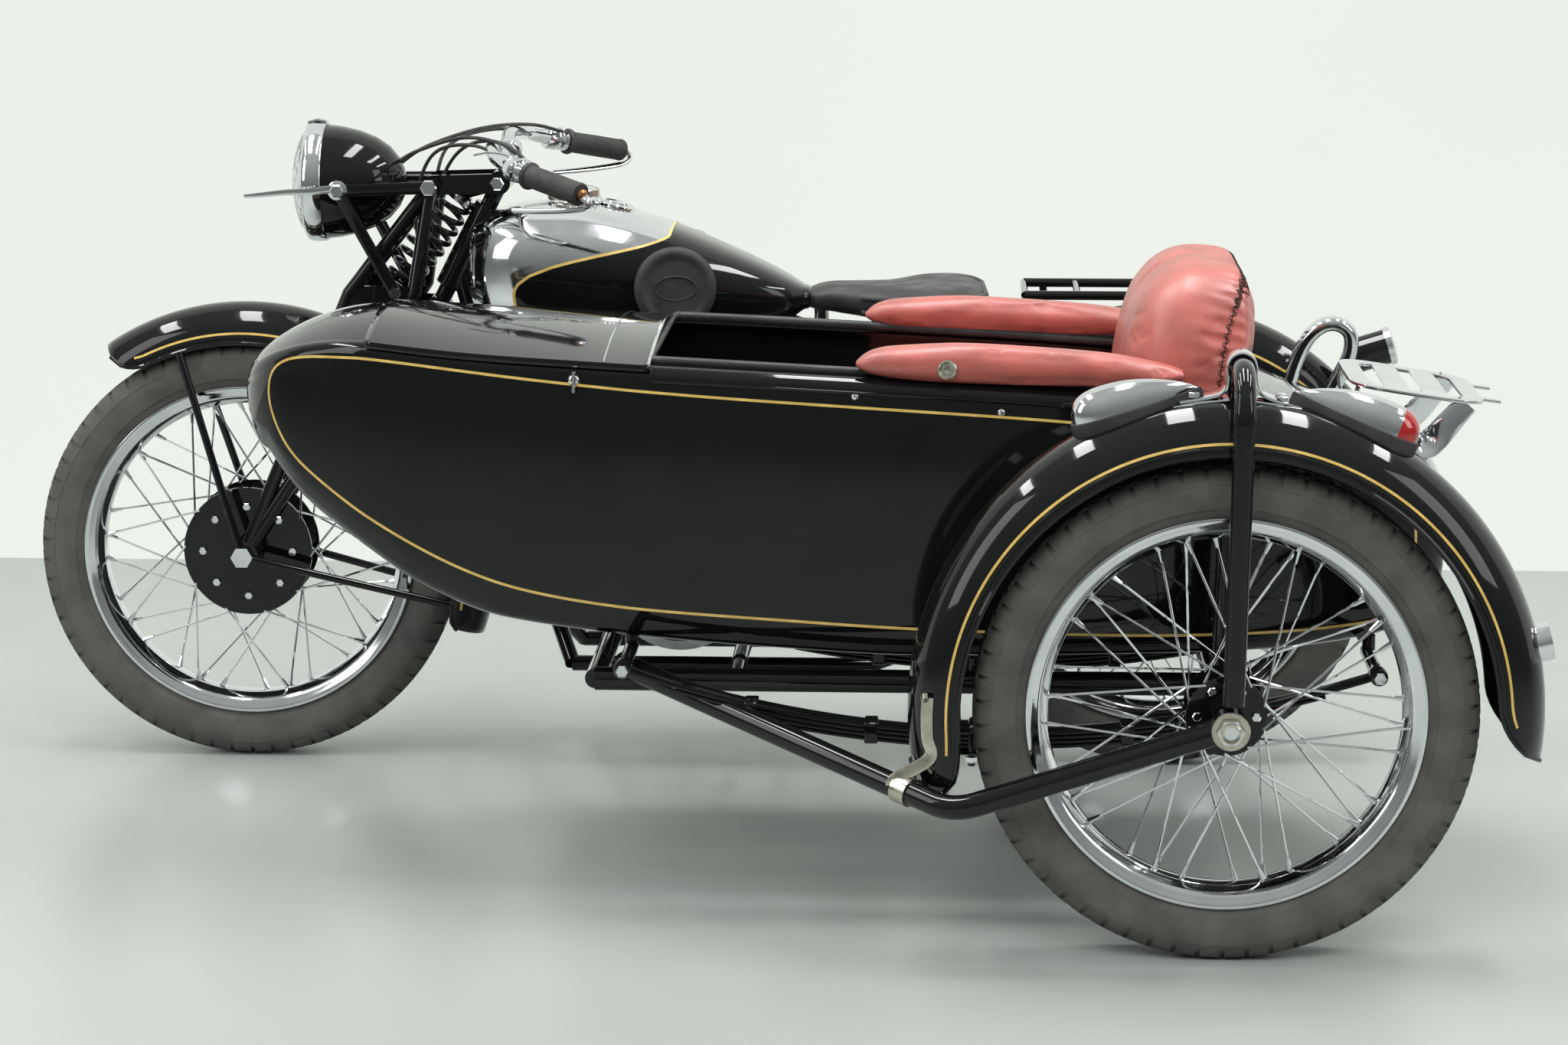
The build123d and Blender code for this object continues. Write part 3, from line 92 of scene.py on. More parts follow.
def through(knots, x):
    """Heights at x of a curve through (x, height) knots: cubics whose slopes never overshoot."""
    xs, ys = np.array(knots, float).T
    step = np.diff(xs)
    slope = np.diff(ys) / step
    left, right = slope[:-1], slope[1:]
    turning = left * right <= 0
    safe_left = np.where(turning, 1.0, left)
    safe_right = np.where(turning, 1.0, right)
    a = 2 * step[1:] + step[:-1]
    b = step[1:] + 2 * step[:-1]
    inner = np.where(turning, 0.0, (a + b) / (a / safe_left + b / safe_right))
    m = np.concatenate([slope[:1], inner, slope[-1:]])
    i = np.clip(np.searchsorted(xs, x) - 1, 0, len(step) - 1)
    t = (x - xs[i]) / step[i]
    start = ys[i] * (1 + 2 * t) * (1 - t) ** 2 + step[i] * m[i] * t * (1 - t) ** 2
    end = ys[i + 1] * t * t * (3 - 2 * t) + step[i] * m[i + 1] * t * t * (t - 1)
    return start + end


def grid(points, wrap_rows=False, wrap_columns=False):
    """Vertices and quads of a surface sampled on rows and columns, closed on itself where asked."""
    rows, columns = points.shape[:2]
    index = np.arange(rows * columns).reshape(rows, columns)
    if wrap_rows:
        index = np.vstack([index, index[:1]])
    if wrap_columns:
        index = np.hstack([index, index[:, :1]])
    quads = np.stack([index[:-1, :-1], index[1:, :-1], index[1:, 1:], index[:-1, 1:]], axis=-1)
    return points.reshape(-1, 3), quads.reshape(-1, 4).tolist()


def join(*parts):
    """Several vertex and face sets as one."""
    verts, faces, count = [], [], 0
    for part_verts, part_faces in parts:
        verts.append(part_verts)
        faces += [[i + count for i in face] for face in part_faces]
        count += len(part_verts)
    return np.concatenate(verts), faces


def capped(surface, count):
    """Surface of a tube with its first and last rings of so many points closed."""
    verts, faces = surface
    return verts, faces + [list(range(count)), list(range(len(verts) - count, len(verts)))]


def unit(vectors):
    """Vectors brought to length one."""
    return vectors / np.linalg.norm(vectors, axis=-1, keepdims=True)


def squarish(wave, power):
    """Cosine or sine raised to a power with its sign kept, which squares up an oval section (superellipse)."""
    return np.sign(wave) * np.abs(wave) ** power


def frames(path, ring=False):
    """Unit tangent and two unit normals at each point of a path, from a reference axis the path never follows."""
    ahead = np.roll(path, -1, axis=0) - np.roll(path, 1, axis=0) if ring else np.gradient(path, axis=0)
    tangent = unit(ahead)
    axis = np.eye(3)[np.argmin(np.abs(tangent).max(axis=0))]
    across = unit(np.cross(tangent, axis))
    return tangent, across, np.cross(across, tangent)


def tube(path, radius, sides=14, ring=False):
    """Round bar: a circle carried along a path in metres, its radius in millimetres, with closed ends."""
    path = np.asarray(path, float)
    _, across, up = frames(path, ring)
    turn = np.linspace(0, 2 * pi, sides, endpoint=False)[None, :, None]
    size = np.broadcast_to(np.asarray(radius, float) / 1000, (len(path),))[:, None, None]
    points = path[:, None] + size * (across[:, None] * np.cos(turn) + up[:, None] * np.sin(turn))
    surface = grid(points, wrap_rows=ring, wrap_columns=True)
    return surface if ring else capped(surface, sides)


def coil(path, axis, radius, sides=12):
    """Round wire of a coil: a circle carried on normals square to the wire and to the axis, with closed ends."""
    along = unit(np.gradient(path, axis=0))
    across = unit(np.cross(along, axis))
    up = np.cross(across, along)
    turn = np.linspace(0, 2 * pi, sides, endpoint=False)[None, :, None]
    points = path[:, None] + radius / 1000 * (across[:, None] * np.cos(turn) + up[:, None] * np.sin(turn))
    return capped(grid(points, wrap_columns=True), sides)


def ribbon(path, out, width, rise):
    """Flat tape of a width along a path in metres, lifted along the unit vectors out, as a closed strip."""
    along, _, _ = frames(np.asarray(path))
    across = unit(np.cross(out, along))
    half = width / 2000
    lift = rise / 1000
    rails = [
        path - across * half - out * lift,
        path - across * half + out * lift,
        path + across * half + out * lift,
        path + across * half - out * lift,
    ]
    return capped(grid(np.stack(rails, axis=1), wrap_columns=True), len(rails))


def band(path, face, width, thick, sides=16, power=4.0, ring=False):
    """Flat strap with eased edges: a squarish oval (superellipse) carried along a path in metres, its broad side
    towards the vectors face, its width and thickness in millimetres, with closed ends or as a ring."""
    path = np.asarray(path, float)
    along, _, _ = frames(path, ring)
    face = np.broadcast_to(np.asarray(face, float), path.shape)
    face = unit(face - along * (face * along).sum(axis=1, keepdims=True))
    across = np.cross(along, face)
    turn = np.linspace(0, 2 * pi, sides, endpoint=False)
    wide = squarish(np.cos(turn), 2 / power)
    deep = squarish(np.sin(turn), 2 / power)
    half_width = np.broadcast_to(np.asarray(width, float) / 2000, (len(path),))[:, None, None]
    half_thick = np.broadcast_to(np.asarray(thick, float) / 2000, (len(path),))[:, None, None]
    points = path[:, None] + across[:, None] * half_width * wide[:, None] + face[:, None] * half_thick * deep[
        :, None
    ]
    surface = grid(points, wrap_rows=ring, wrap_columns=True)
    return surface if ring else capped(surface, sides)


def rounded(points, bend, steps=8):
    """Path with its corners eased: each corner is a parabola that starts and ends a bend's length from it."""
    points = np.asarray(points, float)
    back = points[:-2] - points[1:-1]
    fore = points[2:] - points[1:-1]
    back_len = np.linalg.norm(back, axis=1, keepdims=True)
    fore_len = np.linalg.norm(fore, axis=1, keepdims=True)
    start = points[1:-1] + back * np.minimum(bend / 1000 / back_len, 0.49)
    end = points[1:-1] + fore * np.minimum(bend / 1000 / fore_len, 0.49)
    t = np.linspace(0, 1, steps)[None, :, None]
    corner = (1 - t) ** 2 * start[:, None] + 2 * t * (1 - t) * points[1:-1, None] + t * t * end[:, None]
    return np.concatenate([points[:1], corner.reshape(-1, 3), points[-1:]])


def flowing(points, steps=10, ring=False):
    """Smooth path through its points: a cubic between each two, with slopes from their neighbours."""
    points = np.asarray(points, float)
    if ring:
        wide = np.concatenate([points[-1:], points, points[:2]])
    else:
        wide = np.concatenate([2 * points[:1] - points[1:2], points, 2 * points[-1:] - points[-2:-1]])
    p0, p1, p2, p3 = wide[:-3, None], wide[1:-2, None], wide[2:-1, None], wide[3:, None]
    t = np.linspace(0, 1, steps, endpoint=False)[None, :, None]
    curve = 0.5 * (
        2 * p1 + (p2 - p0) * t + (2 * p0 - 5 * p1 + 4 * p2 - p3) * t**2 + (3 * p1 - p0 - 3 * p2 + p3) * t**3
    )
    curve = curve.reshape(-1, 3)
    return curve if ring else np.concatenate([curve, points[-1:]])


def turned(profile, centre, axis, steps=64, ring=False, flutes=0, depth=0.0):
    """Profile of (along, radius) millimetres turned about an axis through a centre in metres.

    With flutes, the radius swells and sinks by a share of itself that many times round."""
    profile = np.asarray(profile, float) / 1000
    axis = unit(np.asarray(axis, float))
    side = unit(np.cross(axis, [0.0, 0.0, 1.0] if abs(axis[2]) < 0.9 else [1.0, 0.0, 0.0]))
    up = np.cross(axis, side)
    turn = np.linspace(0, 2 * pi, steps, endpoint=False)[:, None, None]
    out = (side * np.cos(turn) + up * np.sin(turn)) * (1 + depth * np.cos(flutes * turn))
    points = np.asarray(centre) + profile[None, :, :1] * axis + profile[None, :, 1:] * out
    return grid(points, wrap_rows=True, wrap_columns=ring)


def prisms(profile, angles, span, centre):
    """Blocks round a wheel: a closed (across, radius) profile in millimetres, swept a span at each angle."""
    profile = np.asarray(profile, float) / 1000
    ends = np.asarray(angles)[:, None] + np.array([-span / 2, span / 2])
    out = np.stack([np.cos(ends), np.zeros_like(ends), np.sin(ends)], axis=-1)
    points = out[:, :, None] * profile[None, None, :, 1:] + np.array([0, 1.0, 0]) * profile[None, None, :, :1]
    points = points + np.asarray(centre)
    n = len(profile)
    sides = [[i, n + i, n + (i + 1) % n, (i + 1) % n] for i in range(n)]
    block = sides + [list(range(n)), list(range(2 * n - 1, n - 1, -1))]
    count = len(ends)
    faces = [[i + 2 * n * k for i in face] for k in range(count) for face in block]
    return points.reshape(-1, 3), faces


def made_of(finish):
    """Material of a finish, by the finish's name."""
    return bpy.data.materials[f"finish_{finish}"]


def piece(name, parts, finish, body, nodes=(), sharp=35.0, wall=None):
    """Mesh object from parts: doubles merged, faces outward, smooth up to an angle, riding on its body."""
    verts, faces = join(*parts)
    mesh = bpy.data.meshes.new(name)
    mesh.from_pydata(verts.tolist(), [], faces)
    work = bmesh.new()
    work.from_mesh(mesh)
    bmesh.ops.remove_doubles(work, verts=work.verts, dist=2e-6)
    bmesh.ops.dissolve_degenerate(work, edges=work.edges, dist=1e-7)
    bmesh.ops.recalc_face_normals(work, faces=work.faces)
    work.to_mesh(mesh)
    work.free()
    mesh.shade_smooth()
    mesh.set_sharp_from_angle(angle=radians(sharp))
    mesh.materials.append(made_of(finish))
    item = bpy.data.objects.new(name, mesh)
    bpy.context.scene.collection.objects.link(item)
    if wall:
        shell = item.modifiers.new("wall", "SOLIDIFY")
        shell.thickness = wall / 1000
        shell.offset = -1
        shell.use_even_offset = True
    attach(item, body)
    if nodes:
        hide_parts(*nodes)
    return item


def hexagon(start, along, size, height):
    """Hexagon head or nut: a six-sided bar with a chamfered top, sizes in millimetres."""
    profile = [(0, 0), (0, size), (height * 0.8, size), (height, size * 0.82), (height, 0)]
    return turned(profile, start, along, steps=6)


def dome(start, along, size, height):
    """Round-headed stud."""
    lift = np.linspace(0, pi / 2, 6)
    profile = [(0, 0), *zip(height * np.sin(lift), size * np.cos(lift))]
    return turned(profile, start, along, steps=16)


# Finishes


def socket(tree, name, way, kind, default=None):
    """Named input or output of a node group."""
    made = tree.interface.new_socket(name=name, in_out=way, socket_type=kind)
    if default is not None:
        made.default_value = default


def mottle_group():
    """Uneven value between Low and High: noise on Object coordinates, stretched over its middle range."""
    tree = bpy.data.node_groups.new("mottle", "ShaderNodeTree")
    socket(tree, "Scale", "INPUT", "NodeSocketFloat", 8.0)
    socket(tree, "Low", "INPUT", "NodeSocketFloat", 0.0)
    socket(tree, "High", "INPUT", "NodeSocketFloat", 1.0)
    socket(tree, "Value", "OUTPUT", "NodeSocketFloat")
    add, link = tree.nodes.new, tree.links.new
    inlet, outlet = add("NodeGroupInput"), add("NodeGroupOutput")
    place, noise, spread = add("ShaderNodeTexCoord"), add("ShaderNodeTexNoise"), add("ShaderNodeMapRange")
    noise.inputs["Detail"].default_value = 6.0
    spread.inputs["From Min"].default_value = 0.35
    spread.inputs["From Max"].default_value = 0.65
    link(place.outputs["Object"], noise.inputs["Vector"])
    link(inlet.outputs["Scale"], noise.inputs["Scale"])
    link(noise.outputs["Fac"], spread.inputs["Value"])
    link(inlet.outputs["Low"], spread.inputs["To Min"])
    link(inlet.outputs["High"], spread.inputs["To Max"])
    link(spread.outputs["Result"], outlet.inputs["Value"])


def pebble_group():
    """Height of pebbled hide or moulded rubber: cell distances with finer noise over them."""
    tree = bpy.data.node_groups.new("pebble", "ShaderNodeTree")
    socket(tree, "Scale", "INPUT", "NodeSocketFloat", 700.0)
    socket(tree, "Height", "OUTPUT", "NodeSocketFloat")
    add, link = tree.nodes.new, tree.links.new
    inlet, outlet = add("NodeGroupInput"), add("NodeGroupOutput")
    place, cells = add("ShaderNodeTexCoord"), add("ShaderNodeTexVoronoi")
    noise, mix = add("ShaderNodeTexNoise"), add("ShaderNodeMath")
    cells.feature = "SMOOTH_F1"
    noise.inputs["Scale"].default_value = 90.0
    mix.operation = "MULTIPLY_ADD"
    mix.inputs[1].default_value = 0.6
    link(place.outputs["Object"], cells.inputs["Vector"])
    link(place.outputs["Object"], noise.inputs["Vector"])
    link(inlet.outputs["Scale"], cells.inputs["Scale"])
    link(cells.outputs["Distance"], mix.inputs[0])
    link(noise.outputs["Fac"], mix.inputs[2])
    link(mix.outputs["Value"], outlet.inputs["Height"])


def tint_group():
    """Colour that drifts between two shades: noise on Object coordinates mixes Shade into Colour."""
    tree = bpy.data.node_groups.new("tint", "ShaderNodeTree")
    socket(tree, "Scale", "INPUT", "NodeSocketFloat", 10.0)
    socket(tree, "Colour", "INPUT", "NodeSocketColor")
    socket(tree, "Shade", "INPUT", "NodeSocketColor")
    socket(tree, "Result", "OUTPUT", "NodeSocketColor")
    add, link = tree.nodes.new, tree.links.new
    inlet, outlet = add("NodeGroupInput"), add("NodeGroupOutput")
    uneven, mix = add("ShaderNodeGroup"), add("ShaderNodeMix")
    uneven.node_tree = bpy.data.node_groups["mottle"]
    mix.data_type = "RGBA"
    link(inlet.outputs["Scale"], uneven.inputs["Scale"])
    link(uneven.outputs["Value"], mix.inputs["Factor"])
    link(inlet.outputs["Colour"], mix.inputs["A"])
    link(inlet.outputs["Shade"], mix.inputs["B"])
    link(mix.outputs["Result"], outlet.inputs["Result"])


Finish = namedtuple(
    "Finish", "name colour shade patch rough spread metal coat grain depth extra", defaults=({},)
)


def finish(row):
    """Material of one finish: drifting colour, uneven roughness and a grain, round one Principled shader."""
    made = bpy.data.materials.new(f"finish_{row.name}")
    made.use_nodes = True
    tree = made.node_tree
    add, link = tree.nodes.new, tree.links.new
    shader = tree.nodes["Principled BSDF"]
    tint, rough = add("ShaderNodeGroup"), add("ShaderNodeGroup")
    tint.node_tree = bpy.data.node_groups["tint"]
    tint.inputs["Scale"].default_value = row.patch
    tint.inputs["Colour"].default_value = (*row.colour, 1)
    tint.inputs["Shade"].default_value = (*row.shade, 1)
    link(tint.outputs["Result"], shader.inputs["Base Color"])
    rough.node_tree = bpy.data.node_groups["mottle"]
    rough.inputs["Scale"].default_value = row.patch * 1.7
    rough.inputs["Low"].default_value = row.rough
    rough.inputs["High"].default_value = row.rough + row.spread
    link(rough.outputs["Value"], shader.inputs["Roughness"])
    shader.inputs["Metallic"].default_value = row.metal
    shader.inputs["Coat Weight"].default_value = row.coat
    shader.inputs["Coat Roughness"].default_value = 0.03
    if row.depth:
        height, bump = add("ShaderNodeGroup"), add("ShaderNodeBump")
        height.node_tree = bpy.data.node_groups["pebble"]
        height.inputs["Scale"].default_value = row.grain
        bump.inputs["Strength"].default_value = row.depth
        bump.inputs["Distance"].default_value = 0.4 / row.grain
        link(height.outputs["Height"], bump.inputs["Height"])
        link(bump.outputs["Normal"], shader.inputs["Normal"])
    for name, value in row.extra.items():
        shader.inputs[name].default_value = value
    return made


def finishes(paint, hide):
    """Table of the finishes: name, colour, shade, patch, roughness, its spread, metal, coat, grain, depth."""
    dark_hide = tuple(0.72 * c for c in hide)
    return [
        Finish(
            "painted_black", paint, tuple(1.5 * c for c in paint), 9, 0.05, 0.06, 0, 0.6, 30, 0.002,
            {"Specular IOR Level": 0.1},
        ),
        Finish("chrome", (0.80, 0.81, 0.83), (0.70, 0.71, 0.73), 14, 0.045, 0.07, 1, 0, 300, 0.01),
        Finish("tyre", (0.066, 0.065, 0.060), (0.094, 0.090, 0.082), 22, 0.62, 0.22, 0, 0, 520, 0.18),
        Finish("rubber", (0.016, 0.016, 0.016), (0.030, 0.029, 0.028), 30, 0.50, 0.20, 0, 0, 640, 0.16),
        Finish(
            "red_leather", hide, dark_hide, 16, 0.40, 0.12, 0, 0, 620, 0.20,
            {"Specular IOR Level": 0.9, "Coat Weight": 0.4, "Coat Roughness": 0.36},
        ),
        Finish("black_leather", (0.016, 0.016, 0.017), (0.032, 0.031, 0.031), 18, 0.38, 0.16, 0, 0, 560, 0.26),
        Finish("aluminium", (0.56, 0.56, 0.57), (0.42, 0.42, 0.43), 26, 0.30, 0.18, 1, 0, 420, 0.12),
        Finish("cast_iron", (0.022, 0.022, 0.023), (0.045, 0.042, 0.040), 30, 0.52, 0.22, 0, 0, 380, 0.30),
        Finish("steel", (0.36, 0.36, 0.37), (0.22, 0.21, 0.20), 34, 0.30, 0.22, 1, 0, 420, 0.10),
        Finish("gold_line", (0.60, 0.42, 0.12), (0.48, 0.32, 0.08), 40, 0.32, 0.10, 0, 0.5, 300, 0.02),
        Finish("nickel", (0.62, 0.58, 0.50), (0.46, 0.43, 0.36), 40, 0.20, 0.16, 1, 0, 300, 0.04),
        Finish("brass", (0.50, 0.28, 0.12), (0.36, 0.18, 0.08), 40, 0.24, 0.16, 1, 0, 300, 0.04),
        Finish("thread", (0.035, 0.018, 0.016), (0.020, 0.012, 0.011), 60, 0.70, 0.15, 0, 0, 900, 0.2),
        Finish(
            "lamp_glass", (0.93, 0.95, 0.95), (0.88, 0.91, 0.92), 12, 0.02, 0.03, 0, 0, 60, 0.05,
            {"Transmission Weight": 1.0, "IOR": 1.5},
        ),
        Finish(
            "red_glass", (0.55, 0.012, 0.012), (0.42, 0.006, 0.008), 30, 0.06, 0.05, 0, 1.0, 240, 0.10,
            {"Transmission Weight": 0.35, "IOR": 1.5},
        ),
    ]


# Sizes and colours that a user would change


class OutfitLooks(bpy.types.PropertyGroup):
    """Sizes and colours of the finish."""

    paint: FloatVectorProperty(
        name="Paint", description="Enamel of frame and bodywork", subtype="COLOR", default=(
            0.0034, 0.0035, 0.0037
        )
    )
    hide: FloatVectorProperty(
        name="Hide", description="Leather of the sidecar's seat", subtype="COLOR", default=(0.43, 0.092, 0.072)
    )
    floor: FloatVectorProperty(
        name="Floor", description="Studio floor", subtype="COLOR", default=(0.36, 0.39, 0.365)
    )
    wall: FloatVectorProperty(
        name="Wall", description="Studio backdrop", subtype="COLOR", default=(0.86, 0.90, 0.84)
    )
    line_width: FloatProperty(
        name="Line width", description="Width of the gold coach lines", default=0.0036, min=0.001, max=0.01,
        unit="LENGTH",
    )
    tread_blocks: IntProperty(
        name="Tread blocks", description="Shoulder blocks round each tyre", default=62, min=24, max=120
    )
    bead: FloatProperty(
        name="Edge bead", description="Radius of the rolled mudguard edges", default=0.0034, min=0.001,
        max=0.008, unit="LENGTH",
    )


# Stage: floor, backdrop, lamps, world and camera
CAMERA_AT = (296.26, 6225.98, 1519.73)
CAMERA_YAW = 0.045228
CAMERA_PITCH = 0.182299
CAMERA_FOCAL_PX = 5332.885
IMAGE_WIDTH_PX = 2048
SENSOR_MM = 36.0
WALL_Y = -1560.0
FLOOR_HALF_M = 14.0
STRIP_PLACES = (-2300, -950, 400, 1750, 3100)
STRIP_Y = 450
STRIP_HIGH = 3300


class StageOperator(bpy.types.Operator):
    """Builds the pale floor and backdrop, the soft lamps and the photograph's camera."""

    bl_idname = "outfit.stage"
    bl_label = "Stage"

    def execute(self, context):
        scene = context.scene
        looks = scene.outfit_looks
        scene.view_settings.view_transform = "Standard"
        eye = bpy.data.cameras.new("camera")
        eye.sensor_fit = "HORIZONTAL"
        eye.sensor_width = SENSOR_MM
        eye.lens = CAMERA_FOCAL_PX / IMAGE_WIDTH_PX * SENSOR_MM
        eye.clip_end = 60
        camera = bpy.data.objects.new("camera", eye)
        camera.location = Vector(at(*CAMERA_AT))
        ahead = Vector((
            sin(CAMERA_YAW) * cos(CAMERA_PITCH),
            -cos(CAMERA_YAW) * cos(CAMERA_PITCH),
            -sin(CAMERA_PITCH),
        ))
        camera.rotation_euler = ahead.to_track_quat("-Z", "Y").to_euler()
        scene.collection.objects.link(camera)
        scene.camera = camera
        self.floor(looks)
        self.wall(looks)
        self.lamps()
        self.world()
        return {"FINISHED"}

    def floor(self, looks):
        """Flat square of sealed concrete with a faint gloss."""
        half = FLOOR_HALF_M
        mesh = bpy.data.meshes.new("floor")
        mesh.from_pydata(
            [(-half, -half, 0), (half, -half, 0), (half, half, 0), (-half, half, 0)], [], [[0, 1, 2, 3]]
        )
        row = Finish(
            "floor", tuple(looks.floor), tuple(0.95 * c for c in looks.floor), 1.4, 0.3, 0.05, 0, 0, 40, 0.0,
            {"Specular IOR Level": 0.3},
        )
        mesh.materials.append(finish(row))
        item = bpy.data.objects.new("floor", mesh)
        bpy.context.scene.collection.objects.link(item)

    def wall(self, looks):
        """Pale backdrop behind the outfit, seen from the front only: even to the eye, matt to the light."""
        half = FLOOR_HALF_M
        y = REAR[1] + WALL_Y / 1000
        mesh = bpy.data.meshes.new("backdrop")
        mesh.from_pydata([(-half, y, 0), (-half, y, 6), (half, y, 6), (half, y, 0)], [], [[0, 1, 2, 3]])
        pale = tuple(looks.wall)
        made = finish(Finish("backdrop", pale, tuple(0.97 * c for c in pale), 0.6, 0.85, 0.1, 0, 0, 40, 0.0))
        tree = made.node_tree
        add, link = tree.nodes.new, tree.links.new
        shader, out = tree.nodes["Principled BSDF"], tree.nodes["Material Output"]
        tint = shader.inputs["Base Color"].links[0].from_node
        rays, seen, glow = add("ShaderNodeLightPath"), add("ShaderNodeMath"), add("ShaderNodeEmission")
        seen_any, lit = add("ShaderNodeMath"), add("ShaderNodeMixShader")
        seen.operation = seen_any.operation = "MAXIMUM"
        link(rays.outputs["Is Camera Ray"], seen.inputs[0])
        link(rays.outputs["Is Glossy Ray"], seen.inputs[1])
        link(seen.outputs["Value"], seen_any.inputs[0])
        link(rays.outputs["Is Transmission Ray"], seen_any.inputs[1])
        link(tint.outputs["Result"], glow.inputs["Color"])
        link(seen_any.outputs["Value"], lit.inputs["Fac"])
        link(shader.outputs["BSDF"], lit.inputs[1])
        link(glow.outputs["Emission"], lit.inputs[2])
        face, clear, mix = add("ShaderNodeNewGeometry"), add("ShaderNodeBsdfTransparent"), add(
            "ShaderNodeMixShader"
        )
        link(face.outputs["Backfacing"], mix.inputs["Fac"])
        link(lit.outputs["Shader"], mix.inputs[1])
        link(clear.outputs["BSDF"], mix.inputs[2])
        link(mix.outputs["Shader"], out.inputs["Surface"])
        mesh.materials.append(made)
        item = bpy.data.objects.new("backdrop", mesh)
        bpy.context.scene.collection.objects.link(item)

    def lamps(self):
        """Row of soft strips overhead, a wide weak lamp at each side and a fill that gives no highlight."""
        table = [
            ("lamp_front", (3600, 2000, 2200), (500, 400, 500), 1.2, 2.2, 26, True),
            ("lamp_rear", (-3000, 2200, 2200), (0, 600, 500), 1.2, 2.0, 22, True),
            ("lamp_fill", (300, 4800, 3600), (300, 500, 200), 4.5, 2.5, 190, False),
        ]
        for x in STRIP_PLACES:
            table.append((f"strip_{x}", (x, STRIP_Y, STRIP_HIGH), (x, STRIP_Y, 0), 0.32, 1.8, 34, True))
        for name, place, target, wide, tall, power, seen in table:
            data = bpy.data.lights.new(name, "AREA")
            data.shape = "RECTANGLE"
            data.size, data.size_y = wide, tall
            data.energy = power
            lamp = bpy.data.objects.new(name, data)
            lamp.visible_glossy = seen
            lamp.location = Vector(at(*place))
            lamp.rotation_euler = Vector(at(*target) - at(*place)).to_track_quat("-Z", "Y").to_euler()
            bpy.context.scene.collection.objects.link(lamp)

    def world(self):
        """Pale surround, dim at the horizon and bright overhead: a ramp on the height of the direction."""
        world = bpy.data.worlds.new("surround")
        world.use_nodes = True
        tree = world.node_tree
        add, link = tree.nodes.new, tree.links.new
        way, parts, ramp = add("ShaderNodeTexCoord"), add("ShaderNodeSeparateXYZ"), add("ShaderNodeValToRGB")
        ramp.color_ramp.elements[0].position = 0.0
        ramp.color_ramp.elements[0].color = (0.24, 0.25, 0.245, 1)
        ramp.color_ramp.elements[1].position = 0.85
        ramp.color_ramp.elements[1].color = (0.62, 0.65, 0.64, 1)
        ground = tree.nodes["Background"]
        ground.inputs["Strength"].default_value = 0.75
        link(way.outputs["Generated"], parts.inputs["Vector"])
        link(parts.outputs["Z"], ramp.inputs["Fac"])
        link(ramp.outputs["Color"], ground.inputs["Color"])
        bpy.context.scene.world = world


class FinishesOperator(bpy.types.Operator):
    """Makes the finishes and puts them on the solids that stay as they are."""

    bl_idname = "outfit.finishes"
    bl_label = "Finishes"

    def execute(self, context):
        looks = context.scene.outfit_looks
        mottle_group()
        pebble_group()
        tint_group()
        for row in finishes(tuple(looks.paint), tuple(looks.hide)):
            finish(row)
        slots = {row["node"]: row["material_slot"] for row in frame["record"]["subparts"]}
        for name, item in frame["nodes"].items():
            item.data.materials.clear()
            item.data.materials.append(made_of(slots[name]))
        return {"FINISHED"}


# Wheels
Wheel = namedtuple("Wheel", "name centre")
WHEELS = [Wheel("front", FRONT), Wheel("rear", REAR), Wheel("sidecar", SIDE)]
CARCASS_HALF = [
    (27, 246), (27, 256), (30, 262), (34.5, 269), (36.0, 270.5), (37.2, 270.5), (40.5, 279), (43.2, 289),
    (44.0, 297), (43.2, 304), (41.2, 309), (37, 314), (30, 318.5), (20, 321.5), (10, 322.6), (0, 323),
]
SHOULDER_BLOCK = [(25, 316), (25, 324.2), (34, 320.6), (40.6, 313.4), (44.4, 302.5), (40, 300)]
MIDDLE_BLOCK = [(10, 319), (10, 326), (22.5, 325), (22.5, 318)]
CENTRE_BLOCK = [(-7, 320), (-7, 326), (7, 326), (7, 320)]
RIM_HALF = [
    (0, 228), (11, 228.4), (15, 230), (23, 236.5), (27, 239), (29.5, 243), (31.6, 249), (33.4, 251.5),
    (34, 254.5), (33, 257.2), (30.5, 258), (28.4, 256.4), (27.6, 253), (27, 247), (24, 243), (12, 236),
    (0, 234),
]
SPOKES = 40
SPOKE_SINK = 3.0
NIPPLE_R = 231.0
NIPPLE = [(0, 0), (0, 4.4), (5, 3.9), (19, 2.5), (20, 0)]
Hub = namedtuple("Hub", "flange_r flange_y lace bolts bolt_r face")
HUBS = {
    "front": Hub(100, 36, 36, 8, 70, 39),
    "rear": Hub(92, 36, 36, 8, 62, 39),
    "sidecar": Hub(52, 34, 52, 6, 38, 37),
}


def mirrored(half):
    """Whole profile from its half: out on one side and back on the other."""
    return half + [(-y, r) for y, r in reversed(half) if y > 0]


class TyresOperator(bpy.types.Operator):
    """Replaces the tyre solids: a ribbed carcass with rows of raised tread blocks."""

    bl_idname = "outfit.tyres"
    bl_label = "Tyres"

    def execute(self, context):
        looks = context.scene.outfit_looks
        count = looks.tread_blocks
        pitch = 2 * pi / count
        turn = np.arange(count) * pitch
        for wheel in WHEELS:
            carcass = turned(mirrored(CARCASS_HALF), wheel.centre, (0, 1, 0), 180, ring=True)
            parts = [carcass]
            for hand in (-1, 1):
                shoulder = [(hand * y, r) for y, r in SHOULDER_BLOCK]
                centre = [(hand * y, r) for y, r in MIDDLE_BLOCK]
                parts.append(prisms(shoulder, turn, 0.80 * pitch, wheel.centre))
                parts.append(prisms(centre, turn + pitch / 2, 0.74 * pitch, wheel.centre))
            parts.append(prisms(CENTRE_BLOCK, turn, 0.70 * pitch, wheel.centre))
            name = f"{wheel.name}_tyre"
            piece(f"{name}_tread", parts, "tyre", f"{wheel.name}_wheel", [name], sharp=30)
        return {"FINISHED"}


